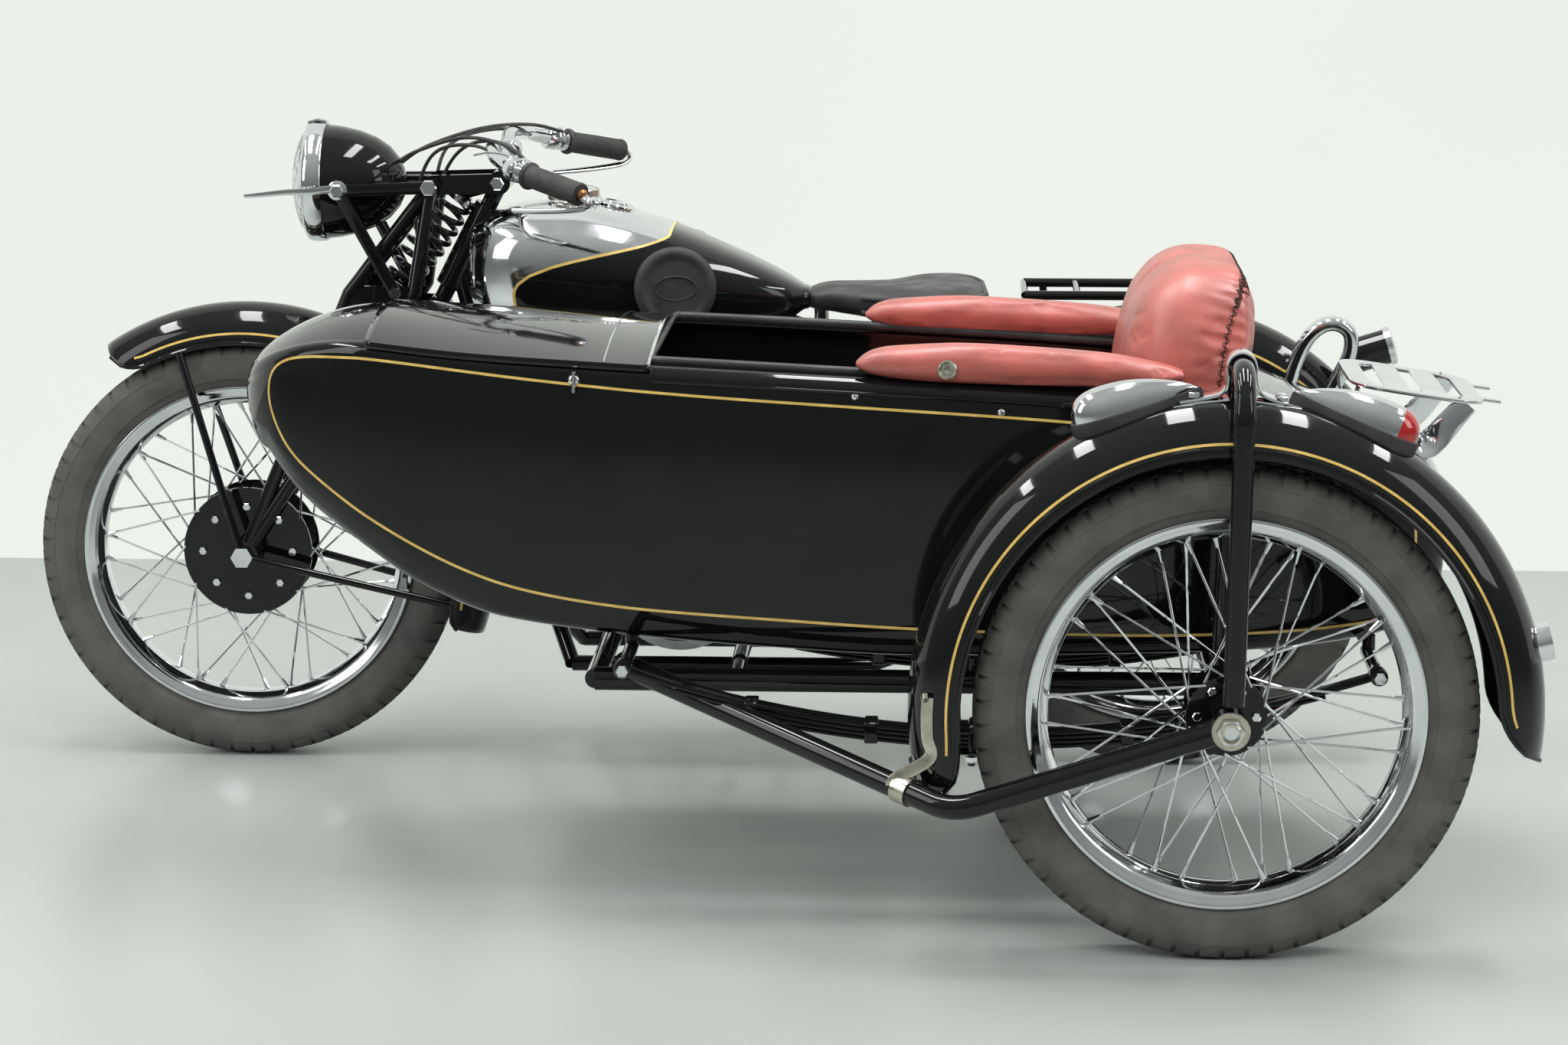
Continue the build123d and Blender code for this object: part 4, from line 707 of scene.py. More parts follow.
class WheelsOperator(bpy.types.Operator):
    """Rolled chrome rims, spoke nipples, tyre valves and hub bolts."""

    bl_idname = "outfit.wheels"
    bl_label = "Rims and hubs"

    def execute(self, context):
        for wheel in WHEELS:
            body = f"{wheel.name}_wheel"
            name = f"{wheel.name}_rim"
            rim = turned(mirrored(RIM_HALF), wheel.centre, (0, 1, 0), 200, ring=True)
            piece(f"{name}_rolled", [rim], "chrome", body, [name], sharp=50)
            piece(f"{wheel.name}_nipples", self.nipples(wheel), "chrome", body)
            hub = HUBS[wheel.name]
            bolts = []
            for hand in (-1, 1):
                for n in range(hub.bolts):
                    turn = 2 * pi * n / hub.bolts
                    place = np.array([cos(turn) * hub.bolt_r, hand * hub.face, sin(turn) * hub.bolt_r]) / 1000
                    bolts.append(hexagon(wheel.centre + place, (0, hand, 0), 6.5, 5))
            piece(f"{wheel.name}_hub_bolts", bolts, "chrome", body)
            out = np.array([cos(2.62), 0, sin(2.62)])
            stem = wheel.centre + out * 0.230
            valve = turned(
                [(0, 0), (0, 6), (4, 6), (5, 4), (26, 4), (27, 5), (36, 5), (37, 3), (37, 0)], stem, -out, 14
            )
            piece(f"{wheel.name}_valve", [valve], "rubber", body)
        return {"FINISHED"}

    def nipples(self, wheel):
        """Tapered nuts at the rim ends of the crossed spokes, on the spokes' own lines: two rows a side."""
        hub = HUBS[wheel.name]
        n = np.arange(SPOKES // 2)
        hand = np.where(n % 2 == 0, 1.0, -1.0)
        hub_r = hub.flange_r - SPOKE_SINK
        made = []
        for lead in (1, -1):
            rim_turn = np.radians((2 * n - n % 2 + lead / 2) * 360 / SPOKES)
            hub_turn = rim_turn + lead * radians(hub.lace)
            rim_y, hub_y = hand * (6 + 1.6 * lead), hand * (hub.flange_y + 3.5 * lead)
            outer = np.stack([NIPPLE_R * np.cos(rim_turn), rim_y, NIPPLE_R * np.sin(rim_turn)], -1)
            inner = np.stack([hub_r * np.cos(hub_turn), hub_y, hub_r * np.sin(hub_turn)], -1)
            for start, end in zip(outer, inner):
                made.append(turned(NIPPLE, wheel.centre + start / 1000, end - start, 8))
        return made


# Sidecar body: half-width and upper and lower edge against x
TUB_HALF = [
    (-352, 194), (-300, 216), (-200, 246), (-80, 266), (60, 275), (500, 276), (720, 271), (832, 258),
    (960, 240), (1115, 204), (1200, 163),
]
NOSE_X = 1306.0
NOSE_START = 1120.0
NOSE_HALF = 180.6
TUB_TOP = [
    (-352, 588), (-300, 606), (-180, 648), (-60, 688), (154, 706), (430, 722), (720, 736), (960, 746),
    (1115, 757),
]
NOSE_Z = 668.0
TUB_LOW = [
    (-352, 404), (-264, 368), (-120, 352), (10, 347), (366, 341), (542, 349), (756, 364), (927, 383),
    (1034, 420), (1122, 473), (1212, 534), (1265, 590),
]
TUB_EDGE_LOW = 34.0
TUB_EDGE_TOP = 17.0
TUB_TUCK = 7.0
TUB_CROWN = [(-352, 8), (-200, 14), (-100, 4), (700, 4), (760, 20), (1100, 27), (1306, 8)]
TAIL_ROUND = 46.0
OPENING_BACK = -92.0
OPENING_FRONT = 724.0
OPENING_IN = 36.0
TUB_SKIN = 4.0


def tub_half(x):
    """Half-width of the tub: a smooth table, then a quarter ellipse round the nose."""
    nose = NOSE_HALF * np.sqrt(np.clip(1 - ((x - NOSE_START) / (NOSE_X - NOSE_START)) ** 2, 0, 1))
    return np.where(x < 1200, through(TUB_HALF, np.minimum(x, 1200)), nose)


def tub_top(x):
    """Height of the tub's upper edge: a smooth table, then an ellipse down to the nose's tip."""
    start, high = TUB_TOP[-1]
    share = np.clip((x - start) / (NOSE_X - start), 0, 1)
    nose = NOSE_Z + (high - NOSE_Z) * np.sqrt(1 - share**2)
    return np.where(x < start, through(TUB_TOP, np.minimum(x, start)), nose)


def tub_low(x):
    """Height of the tub's lower edge: a smooth table, then an ellipse up to the nose's tip."""
    start, low = TUB_LOW[-1]
    share = np.clip((x - start) / (NOSE_X - start), 0, 1)
    nose = NOSE_Z - (NOSE_Z - low) * np.sqrt(1 - share**2)
    return np.where(x < start, through(TUB_LOW, np.minimum(x, start)), nose)


def tub_section(x):
    """Half-width, top, low and corner radii at stations x, drawn in round the tail."""
    tail = np.clip((x - TUB_HALF[0][0]) / TAIL_ROUND, 0, 1)
    draw = 0.55 * TAIL_ROUND * (1 - np.sqrt(1 - (1 - tail) ** 2))
    half = tub_half(x) - draw
    top = tub_top(x) - draw
    low = tub_low(x) + draw
    room = np.minimum(half, (top - low) / 2)
    return half, top, low, np.minimum(TUB_EDGE_TOP, 0.8 * room), np.minimum(TUB_EDGE_LOW, 0.9 * room)


def tub_wall_y(x, z):
    """How far the tub's side wall stands out at a height: its half-width less a bow towards top and bottom."""
    half, top, low, _, _ = tub_section(x)
    bow = (z - (top + low) / 2) / ((top - low) / 2)
    return half - TUB_TUCK * np.minimum(bow**2, 1)


def tub_grid(x):
    """Left half of the tub's sections at stations x: over the top, round the edge, down the side and below."""
    x = np.asarray(x, float)[:, None]
    half, top, low, edge_top, edge_low = tub_section(x)
    shrink = np.clip(half / 60, 0, 1)
    tuck = TUB_TUCK * shrink
    rim = np.maximum(half - tuck - OPENING_IN * shrink, 0)
    over = np.linspace(0, 1, 9)[None]
    lip = np.linspace(0, 1, 5)[None, 1:]
    arc = np.linspace(0, pi / 2, 8)[None, 1:]
    down = np.linspace(0, 1, 15)[None, 1:]
    under = np.linspace(0, 1, 9)[None, 1:]
    corner = half - tuck - edge_top
    y_top = np.concatenate([rim * over, rim + (corner - rim) * lip], axis=1)
    crown = through(TUB_CROWN, x)
    z_top = top + crown * (1 - (y_top / np.maximum(corner, 1)) ** 2)
    y_arc = corner + edge_top * np.sin(arc)
    z_arc = top - edge_top + edge_top * np.cos(arc)
    z_side = top - edge_top + (low + edge_low - top + edge_top) * down
    bow = (z_side - (top + low) / 2) / np.maximum((top - low) / 2, 1)
    y_side = half - tuck * bow**2
    foot = half - tuck - edge_low
    y_turn = foot + edge_low * np.cos(arc)
    z_turn = low + edge_low - edge_low * np.sin(arc)
    y_under = foot * (1 - under)
    z_under = low + 0 * under
    y = np.concatenate([y_top, y_arc, y_side, y_turn, y_under], axis=1)
    z = np.concatenate([z_top, z_arc, z_side, z_turn, z_under + 0 * y_under], axis=1)
    return np.broadcast_to(x, y.shape), y, z


LINE_LOOP = [
    (-306, 440), (-284, 400), (-198, 386), (-49, 379), (139, 378), (365, 384), (539, 394), (751, 408),
    (880, 425), (967, 449), (1055, 488), (1143, 538), (1218, 594), (1252, 652), (1253, 700), (1222, 727),
    (1150, 735), (1072, 733), (856, 713), (644, 697), (435, 684), (154, 666), (-100, 640), (-240, 594),
    (-302, 548),
]
DECK_BACK = 720.0
DECK_FRONT = 1112.0
DECK_LIFT = 2.5
DECK_LIP = 9.0


class SidecarBodyOperator(bpy.types.Operator):
    """Replaces the tub and deck: a boat-shaped shell with its deck lid, coach lines and rolled rim."""

    bl_idname = "outfit.sidecar_body"
    bl_label = "Sidecar body"

    def execute(self, context):
        looks = context.scene.outfit_looks
        self.shell()
        self.deck()
        self.lines(looks)
        self.rim()
        self.fittings()
        return {"FINISHED"}

    def shell(self):
        """Sections from tail to nose, without the faces over the seat opening, given a wall."""
        tail = TUB_HALF[0][0] + TAIL_ROUND * (1 - np.cos(np.linspace(0, pi / 2, 8)))
        back = np.linspace(tail[-1], OPENING_BACK, 16)[1:]
        mid = np.linspace(OPENING_BACK, OPENING_FRONT, 40)[1:]
        fore = np.linspace(OPENING_FRONT, 1150, 26)[1:]
        nose = 1150 + (NOSE_X - 1150) * np.sin(np.linspace(0, pi / 2, 30))[1:]
        x = np.concatenate([tail, back, mid, fore, nose])
        xs, ys, zs = tub_grid(x)
        left = at(xs, BODY_Y + ys, zs)
        right = at(xs, BODY_Y - ys, zs)
        whole = np.concatenate([left, right[:, -2:0:-1]], axis=1)
        verts, faces = grid(whole, wrap_columns=True)
        columns = whole.shape[1]
        face_row = np.repeat(np.arange(len(x) - 1), columns)
        face_column = np.tile(np.arange(columns), len(x) - 1)
        over = (face_column < 8) | (face_column >= columns - 8)
        open_rows = (x[face_row] >= OPENING_BACK - 0.1) & (x[face_row] < OPENING_FRONT - 0.1)
        keep = ~(over & open_rows)
        faces = [face for face, kept in zip(faces, keep) if kept]
        faces.append(list(range(columns)))
        piece(
            "tub_shell", [(verts, faces)], "painted_black", "chassis", ["sidecar_tub"], 40,
            TUB_SKIN,
        )

    def deck(self):
        """Crowned lid over the nose's opening with turned-down edges."""
        x = np.linspace(DECK_BACK, DECK_FRONT, 40)[:, None]
        half = tub_half(x) - TUB_TUCK + 1.5
        share = np.linspace(-1, 1, 41)[None]
        y = half * share
        z = tub_top(x) + DECK_LIFT + through(TUB_CROWN, np.maximum(x, 770)) * (1 - share**2)
        lip = np.array([-0.5, -1.0])[None] * DECK_LIP
        edge = half + 1.2
        ys = np.concatenate([-edge + 0 * lip, y, edge + 0 * lip], axis=1)
        zs = np.concatenate([z[:, :1] + lip[:, ::-1], z, z[:, -1:] + lip], axis=1)
        sheet = grid(at(np.broadcast_to(x, ys.shape), BODY_Y + ys, zs))
        piece("deck_lid", [sheet], "painted_black", "chassis", ["deck_panel"], 50, 2.2)
        back = at(DECK_BACK + 1 + 0 * share[0], BODY_Y + (half[0] - 2) * share[0], z[0] + 0.3)
        seam = at(DECK_BACK + 62 + 0 * share[0], BODY_Y + (half[6] - 2) * share[0], z[6] + 0.3)
        piece("deck_strip", [tube(back, 2.6, 10), tube(seam, 1.3, 8)], "chrome", "chassis")

    def lines(self, looks):
        """Gold coach line on both sides, a closed loop laid on the wall."""
        loop = np.array(LINE_LOOP, float)
        path = flowing(np.column_stack([loop[:, 0], 0 * loop[:, 0], loop[:, 1]]), 12, ring=True)
        x, z = path[:, 0], path[:, 2]
        wall = tub_wall_y(x, z)
        strips = []
        for hand in (-1, 1):
            on = at(x, BODY_Y + hand * (wall + 0.25), z)
            ahead = at(x + 1, BODY_Y + hand * (tub_wall_y(x + 1, z) + 0.25), z) - on
            above = at(x, BODY_Y + hand * (tub_wall_y(x, z + 1) + 0.25), z + 1) - on
            out = unit(np.cross(above, ahead) * hand)
            on = np.concatenate([on, on[:1]])
            out = np.concatenate([out, out[:1]])
            strips.append(ribbon(on, out, 1000 * looks.line_width, 0.35))
        piece("tub_coach_lines", strips, "gold_line", "chassis")

    def rim(self):
        """Rolled edge round the seat opening, with a bead moulding just below it on the outside."""
        x = np.linspace(OPENING_BACK, OPENING_FRONT, 60)
        half = tub_half(x) - TUB_TUCK - OPENING_IN
        z = tub_top(x) + 4
        left, right = at(x, BODY_Y + half, z), at(x, BODY_Y - half, z)
        loop = np.concatenate([left, right[::-1]])
        roll = tube(rounded(np.concatenate([loop, loop[:1]]), 20, 2), 6.5, 12)
        piece("opening_roll", [roll], "black_leather", "chassis")
        x = np.linspace(-120, 716, 60)
        beads = []
        for hand in (-1, 1):
            z = tub_top(x) - 19
            beads.append(tube(at(x, BODY_Y + hand * (tub_wall_y(x, z) + 0.5), z), 2.2, 8))
        piece("side_beads", beads, "painted_black", "chassis")

    def fittings(self):
        """Studs along the side, the deck's catch on each side and its two fasteners."""
        studs = []
        for x, drop in ((445, 24), (250, 33), (110, 34), (-20, 36)):
            z = float(tub_top(np.array(x))) - drop
            for hand in (-1, 1):
                y = float(tub_wall_y(np.array(float(x)), z))
                studs.append(dome(at(x, BODY_Y + hand * (y - 0.5), z), (0, hand, 0), 5.2, 3.4))
        for hand in (-1, 1):
            x, z = 822.0, 716.0
            y = float(tub_wall_y(np.array(x), z))
            place = at(x, BODY_Y + hand * (y - 0.5), z)
            studs.append(dome(place, (0, hand, 0), 8.5, 6))
            lever = [place + np.array([0, hand * 0.004, 0.012]), place + np.array([0, hand * 0.008, -0.016])]
            studs.append(tube(np.array(lever), 3.0, 10))
        piece("side_studs", studs, "chrome", "chassis")


# Mudguards: crowned strips about each wheel
Guard = namedtuple("Guard", "name body x y crown_r edge_r half rear front rear_end front_end")
GUARDS = [
    Guard("front_mudguard", "fork", WHEELBASE, 0.0, 386.0, 328.0, 58.0, 200.0, 56.0, 0.80, 0.55),
    Guard("rear_mudguard", "chassis", 0.0, 0.0, 392.0, 334.0, 60.0, 192.0, 18.0, 0.55, 0.80),
    Guard("sidecar_mudguard", "chassis", SIDE_LEAD, TRACK, 410.0, 345.0, 76.0, 188.0, -15.0, 0.20, 0.72),
]
END_RUN = 0.06
LINE_IN = 15.0
SWAGE_IN = 10.0
GUARD_SKIN = 2.4


def guard_arc(guard):
    """Radius of a mudguard's crown across, and the angle from its middle to its edge."""
    rise = guard.crown_r - guard.edge_r
    round_r = (guard.half**2 + rise**2) / (2 * rise)
    return round_r, np.arctan2(guard.half, guard.edge_r - guard.crown_r + round_r)


def guard_half_arc(guard):
    """Length over a mudguard from its middle to its edge."""
    round_r, reach = guard_arc(guard)
    return round_r * reach


def guard_point(guard, angle, share, lift=0.0):
    """Point of a mudguard: an arc across, edge to edge as share runs -1 to 1, turned about the axle by angle."""
    round_r, reach = guard_arc(guard)
    across = share * reach
    y = (round_r + lift) * np.sin(across)
    r = guard.crown_r - round_r + (round_r + lift) * np.cos(across)
    return at(guard.x + r * np.cos(angle), guard.y + y, TYRE_R + r * np.sin(angle))


class MudguardsOperator(bpy.types.Operator):
    """Replaces the mudguards: pressed crowns with rolled edges and gold lines."""

    bl_idname = "outfit.mudguards"
    bl_label = "Mudguards"

    def execute(self, context):
        looks = context.scene.outfit_looks
        for guard in GUARDS:
            angle = np.radians(np.linspace(guard.front, guard.rear, 110))
            ease = self.ends(guard, angle)
            share = np.linspace(-1, 1, 37)[None] * ease[:, None]
            skin = grid(guard_point(guard, angle[:, None], share))
            piece(
                f"{guard.name}_skin", [skin], "painted_black", guard.body, [guard.name], 60,
                GUARD_SKIN,
            )
            edge_angle = np.concatenate([angle, angle[::-1]])
            edge_share = np.concatenate([ease, -ease[::-1]])
            rim = guard_point(guard, edge_angle, edge_share, -GUARD_SKIN / 2)
            beads = [tube(rim, 1000 * looks.bead, 10, ring=True)]
            strips = []
            inner, width = angle[4:-4], ease[4:-4]
            for hand in (-1, 1):
                line = hand * (width - LINE_IN / guard_half_arc(guard))
                on = guard_point(guard, inner, line, 0.25)
                out = unit(guard_point(guard, inner, line, 1.25) - on)
                strips.append(ribbon(on, out, 1000 * looks.line_width, 0.35))
                swage = hand * (width - SWAGE_IN / guard_half_arc(guard))
                beads.append(tube(guard_point(guard, inner, swage, 0.2), 1.7, 8))
            piece(f"{guard.name}_beads", beads, "painted_black", guard.body)
            piece(f"{guard.name}_lines", strips, "gold_line", guard.body)
        return {"FINISHED"}

    def ends(self, guard, angle):
        """Share of the full width at each angle: drawn in on a quarter circle at both ends."""
        run = (angle - angle.min()) / (angle.max() - angle.min())
        front = 1 - np.clip(run / END_RUN, 0, 1)
        rear = 1 - np.clip((1 - run) / END_RUN, 0, 1)
        front_ease = guard.front_end + (1 - guard.front_end) * np.sqrt(1 - front**2)
        rear_ease = guard.rear_end + (1 - guard.rear_end) * np.sqrt(1 - rear**2)
        return np.minimum(front_ease, rear_ease)


# Fuel tank: half-width, top and bottom against x
TANK_HALF = [(545, 40), (570, 70), (640, 100), (740, 124), (850, 135), (960, 130), (1015, 112), (1046, 82)]
TANK_TOP = [
    (545, 742), (570, 757), (655, 798), (773, 845), (832, 861), (900, 871), (960, 870), (1015, 858),
    (1046, 838),
]
TANK_LOW = [(545, 706), (570, 692), (640, 678), (800, 668), (950, 668), (1015, 680), (1046, 706)]
TANK_POWER = 2.7
PANEL_LINE = [
    (640, 980), (712, 978), (741, 981), (759, 972), (777, 939), (791, 892), (803, 838), (817, 773),
    (826, 748), (880, 742),
]
KNEE = (737.0, 752.0)


def tank_point(x, turn, lift=0.0):
    """Point of the tank: a squarish oval section whose half-width, top and bottom follow tables of x."""
    half = through(TANK_HALF, x) + lift
    top = through(TANK_TOP, x) + lift
    low = through(TANK_LOW, x) - lift
    c, s = np.cos(turn), np.sin(turn)
    y = half * squarish(c, 2 / TANK_POWER)
    z = (top + low) / 2 + (top - low) / 2 * squarish(s, 2 / TANK_POWER)
    return y, z


def panel_edge(turn):
    """Where the chrome panel ends at each turn: the x where the tank meets the panel line, by iteration."""
    x = np.full_like(turn, 850.0)
    for _ in range(30):
        _, z = tank_point(x, turn)
        x = 0.5 * x + 0.5 * through(PANEL_LINE, np.clip(z, 640, 880))
    return x


class TankOperator(bpy.types.Operator):
    """Replaces the fuel tank and knee grips: a chromed tank with black panels, gold edge, cap and rubbers."""

    bl_idname = "outfit.tank"
    bl_label = "Fuel tank"

    def execute(self, context):
        looks = context.scene.outfit_looks
        turn = np.linspace(0, 2 * pi, 96, endpoint=False)
        edge = panel_edge(turn)
        start, end = TANK_HALF[0][0], TANK_HALF[-1][0]
        black = self.skin(start, edge, turn, 60, -1)
        bright = self.skin(edge, end, turn, 40, 1)
        piece("tank_paint", [black], "painted_black", "chassis", ["fuel_tank"], 40)
        piece("tank_chrome", [bright], "chrome", "chassis", [], 40)
        ring = np.append(turn, turn[0])
        x = panel_edge(ring)
        y, z = tank_point(x, ring, 0.3)
        on = at(x, y, z)
        y, z = tank_point(x, ring, 3.0)
        out = unit(at(x, y, z) - on)
        piece(
            "tank_line", [ribbon(on, out, 1200 * looks.line_width, 0.4)], "gold_line", "chassis",
        )
        self.cap()
        self.knees()
        return {"FINISHED"}

    def skin(self, start, end, turn, rows, hand):
        """Surface from one edge to the other, closed with a rounded end behind (hand -1) or in front (hand 1)."""
        t = np.linspace(0, 1, rows)[:, None]
        x = start + (end - start) * t
        turns = np.broadcast_to(turn, x.shape)
        y, z = tank_point(x, turns)
        points = at(x, y, z)
        rim = points[0] if hand < 0 else points[-1]
        centre = rim.mean(axis=0)
        close = np.linspace(0, pi / 2, 9)[1:, None, None]
        cap = centre + (rim - centre)[None] * np.cos(close)
        cap = cap + np.array([hand * 0.016, 0, 0]) * np.sin(close)
        points = np.concatenate([cap[::-1], points]) if hand < 0 else np.concatenate([points, cap])
        return grid(points, wrap_columns=True)

    def cap(self):
        """Filler cap with a milled ring on a bright seat, and the flat inspection cap behind it."""
        x = 900.0
        place = at(x, 0, float(through(TANK_TOP, np.array(x))) - 5)
        seat = [(0, 0), (0, 44), (6, 44), (9, 41), (10, 38), (10, 0)]
        milled = [(9, 0), (9, 37), (11, 39), (20, 39), (22, 37), (22, 0)]
        top = [(21, 0), (21, 36), (24, 33), (27, 22), (28, 0)]
        back_x = 834.0
        back = at(back_x, 0, float(through(TANK_TOP, np.array(back_x))) - 5)
        small = [(0, 0), (0, 27), (8, 27), (10, 25), (11, 21), (13, 20), (14, 0)]
        bright = [turned(seat, place, (0.05, 0, 1), 64), turned(top, place, (0.05, 0, 1), 64)]
        bright.append(turned(small, back, (-0.22, 0, 1), 48))
        piece("filler_cap", bright, "chrome", "chassis")
        ring = turned(milled, place, (0.05, 0, 1), 160, flutes=40, depth=0.018)
        piece("filler_ring", [ring], "nickel", "chassis", sharp=25)

    def knees(self):
        """Round rubber pads with a raised oval ring and a cushioned edge."""
        profile = [
            (-26, 0), (-26, 55), (0, 62), (8, 62.5), (13, 60), (15.5, 55), (16, 50), (13.5, 46), (13, 40),
            (13, 0),
        ]
        ring = np.linspace(0, 2 * pi, 60, endpoint=False)
        pads = []
        for hand in (-1, 1):
            centre = at(KNEE[0], hand * 126, KNEE[1])
            axis = np.array([-0.16, hand, 0.06])
            pads.append(turned(profile, centre, axis, 72))
            face = centre + unit(axis) * 0.0135
            long = 0.031 * np.cos(ring)
            oval = face + np.stack([long, hand * 0.16 * long, 0.018 * np.sin(ring)], -1)
            pads.append(tube(oval, 1.6, 8, ring=True))
        piece("knee_pads", pads, "rubber", "chassis", ["knee_grips"], 40)


# Soft pieces
BACK_PROFILE = [
    (92, 560), (90, 650), (84, 715), (73, 768), (57, 812), (35, 841), (5, 859), (-32, 866), (-66, 864),
    (-84, 850), (-88, 814), (-84, 770), (-76, 710), (-64, 650), (-30, 560),
]
BACK_HALF = 226.0
BACK_SWELL = 7.0
BACK_ANCHOR = (-74.0, 640.0)
SEAM_END = [(-41, 690), (-44, 726), (-49, 760), (-57, 794), (-67, 822), (-76, 840), (-81, 850)]
SEAM_TOP = (-82.0, 854.0)
SEAM_PITCH = 13.0
GATHER_PITCH = 20.0
ARM_TOP = [(6, 733), (60, 745), (175, 757), (331, 764), (400, 763), (430, 756), (446, 742)]
ARM_LOW = [(6, 722), (60, 718), (175, 718), (331, 722), (400, 724), (430, 728), (446, 738)]
ARM_HALF = 34.0
ARM_OUT = 250.0
SEAT_MID = (250.0, 485.0)
SEAT_SIZE = (460.0, 470.0, 150.0)
SADDLE_TOP = [(268, 748), (300, 752), (360, 749), (430, 742), (500, 742), (548, 738)]
SADDLE_DEEP = [(268, 38), (300, 46), (400, 46), (470, 38), (548, 26)]
SADDLE_HALF = [
    (268, 60), (282, 104), (310, 134), (345, 140), (390, 112), (430, 78), (480, 56), (530, 44), (548, 26),
]
STUFF_FRAMES = 20
STUFF_PRESSURE = 4.0


def stuffed(item, voxel, cap):
    """Swells a closed form as leather over stuffing: voxel remesh, cloth with inner pressure, movement capped."""
    scene = bpy.context.scene
    remesh = item.modifiers.new("remesh", "REMESH")
    remesh.mode = "VOXEL"
    remesh.voxel_size = voxel / 1000
    depsgraph = bpy.context.evaluated_depsgraph_get()
    mesh = bpy.data.meshes.new_from_object(item.evaluated_get(depsgraph))
    item.modifiers.clear()
    old = item.data
    item.data = mesh
    bpy.data.meshes.remove(old)
    rest = np.empty(len(mesh.vertices) * 3)
    mesh.vertices.foreach_get("co", rest)
    rest = rest.reshape(-1, 3)
    cloth = item.modifiers.new("stuffing", "CLOTH")
    cloth.settings.use_pressure = True
    cloth.settings.uniform_pressure_force = STUFF_PRESSURE
    cloth.settings.effector_weights.gravity = 0
    cloth.settings.quality = 4
    cloth.settings.tension_stiffness = 12
    cloth.settings.compression_stiffness = 12
    cloth.settings.bending_stiffness = 0.4
    cloth.point_cache.frame_end = STUFF_FRAMES
    for number in range(1, STUFF_FRAMES + 1):
        scene.frame_set(number)
    swollen = bpy.data.meshes.new_from_object(item.evaluated_get(bpy.context.evaluated_depsgraph_get()))
    moved = np.empty(len(swollen.vertices) * 3)
    swollen.vertices.foreach_get("co", moved)
    shift = moved.reshape(-1, 3) - rest
    length = np.linalg.norm(shift, axis=1, keepdims=True)
    rest = rest + shift * np.minimum(1, cap / 1000 / np.maximum(length, 1e-9))
    item.modifiers.clear()
    bpy.data.meshes.remove(swollen)
    scene.frame_set(1)
    mesh.vertices.foreach_set("co", rest.ravel())
    mesh.shade_smooth()
    smooth = item.modifiers.new("smooth", "SUBSURF")
    smooth.levels = smooth.render_levels = 1


def soft_piece(name, part, colour, node, voxel, cap):
    """Padded piece: its form, swollen, with its finish, in place of a node."""
    item = piece(name, [part], colour, "chassis", [node], 60)
    stuffed(item, voxel, cap)
    if not item.data.materials:
        item.data.materials.append(made_of(colour))
    return item


def pad_draw(t):
    """How much of a pad's side profile is left towards its ends, as t runs -1 to 1: a flattened round."""
    return np.clip(1 - np.abs(t) ** 7, 0, 1) ** 0.4


def pillow(profile, anchor, half, mid, rows=61):
    """Closed side profile carried across and drawn towards an anchor (x, z) at both ends: one face stays flat."""
    outline = np.asarray(profile, float)
    t = np.sin(np.linspace(-pi / 2, pi / 2, rows))
    t[0], t[-1] = -0.9995, 0.9995
    shape = np.asarray(anchor) + (outline - np.asarray(anchor))[None] * pad_draw(t)[:, None, None]
    y = np.broadcast_to((mid + half * t)[:, None], shape.shape[:2])
    points = at(shape[..., 0], y, shape[..., 1])
    return capped(grid(points, wrap_columns=True), len(outline))


def laid_on(item, points, lift):
    """Points moved onto the nearest place of a finished piece's surface, and lifted along its normal."""
    depsgraph = bpy.context.evaluated_depsgraph_get()
    surface = BVHTree.FromObject(item, depsgraph)
    found = [surface.find_nearest(Vector(point)) for point in points]
    return np.array([place + normal * lift / 1000 for place, normal, _, _ in found])


def pucker(item, seam, pitch, depth, reach):
    """Gathers beside a seam: the surface sinks in a cosine along the seam, fading over a reach to its sides."""
    mesh = item.data
    count = len(mesh.vertices)
    place, normal = np.empty(count * 3), np.empty(count * 3)
    mesh.vertices.foreach_get("co", place)
    mesh.vertices.foreach_get("normal", normal)
    place, normal = place.reshape(-1, 3), normal.reshape(-1, 3)
    along = np.concatenate([[0], np.cumsum(np.linalg.norm(np.diff(seam, axis=0), axis=1))])
    near = (np.abs(place[:, None] - seam[None, ::6]).max(axis=2) < 3 * reach / 1000).any(axis=1)
    gap = np.linalg.norm(place[near][:, None] - seam[None], axis=2)
    nearest = gap.argmin(axis=1)
    away = gap.min(axis=1) * 1000
    wave = 0.5 + 0.5 * np.cos(2 * pi * along[nearest] * 1000 / pitch)
    sink = depth * (0.55 + 0.45 * wave) * np.exp(-((away / 7) ** 2)) + depth * wave * np.exp(
        -((away / reach) ** 2)
    )
    place[near] -= normal[near] * sink[:, None] / 1000
    mesh.vertices.foreach_set("co", place.ravel())
    mesh.update()


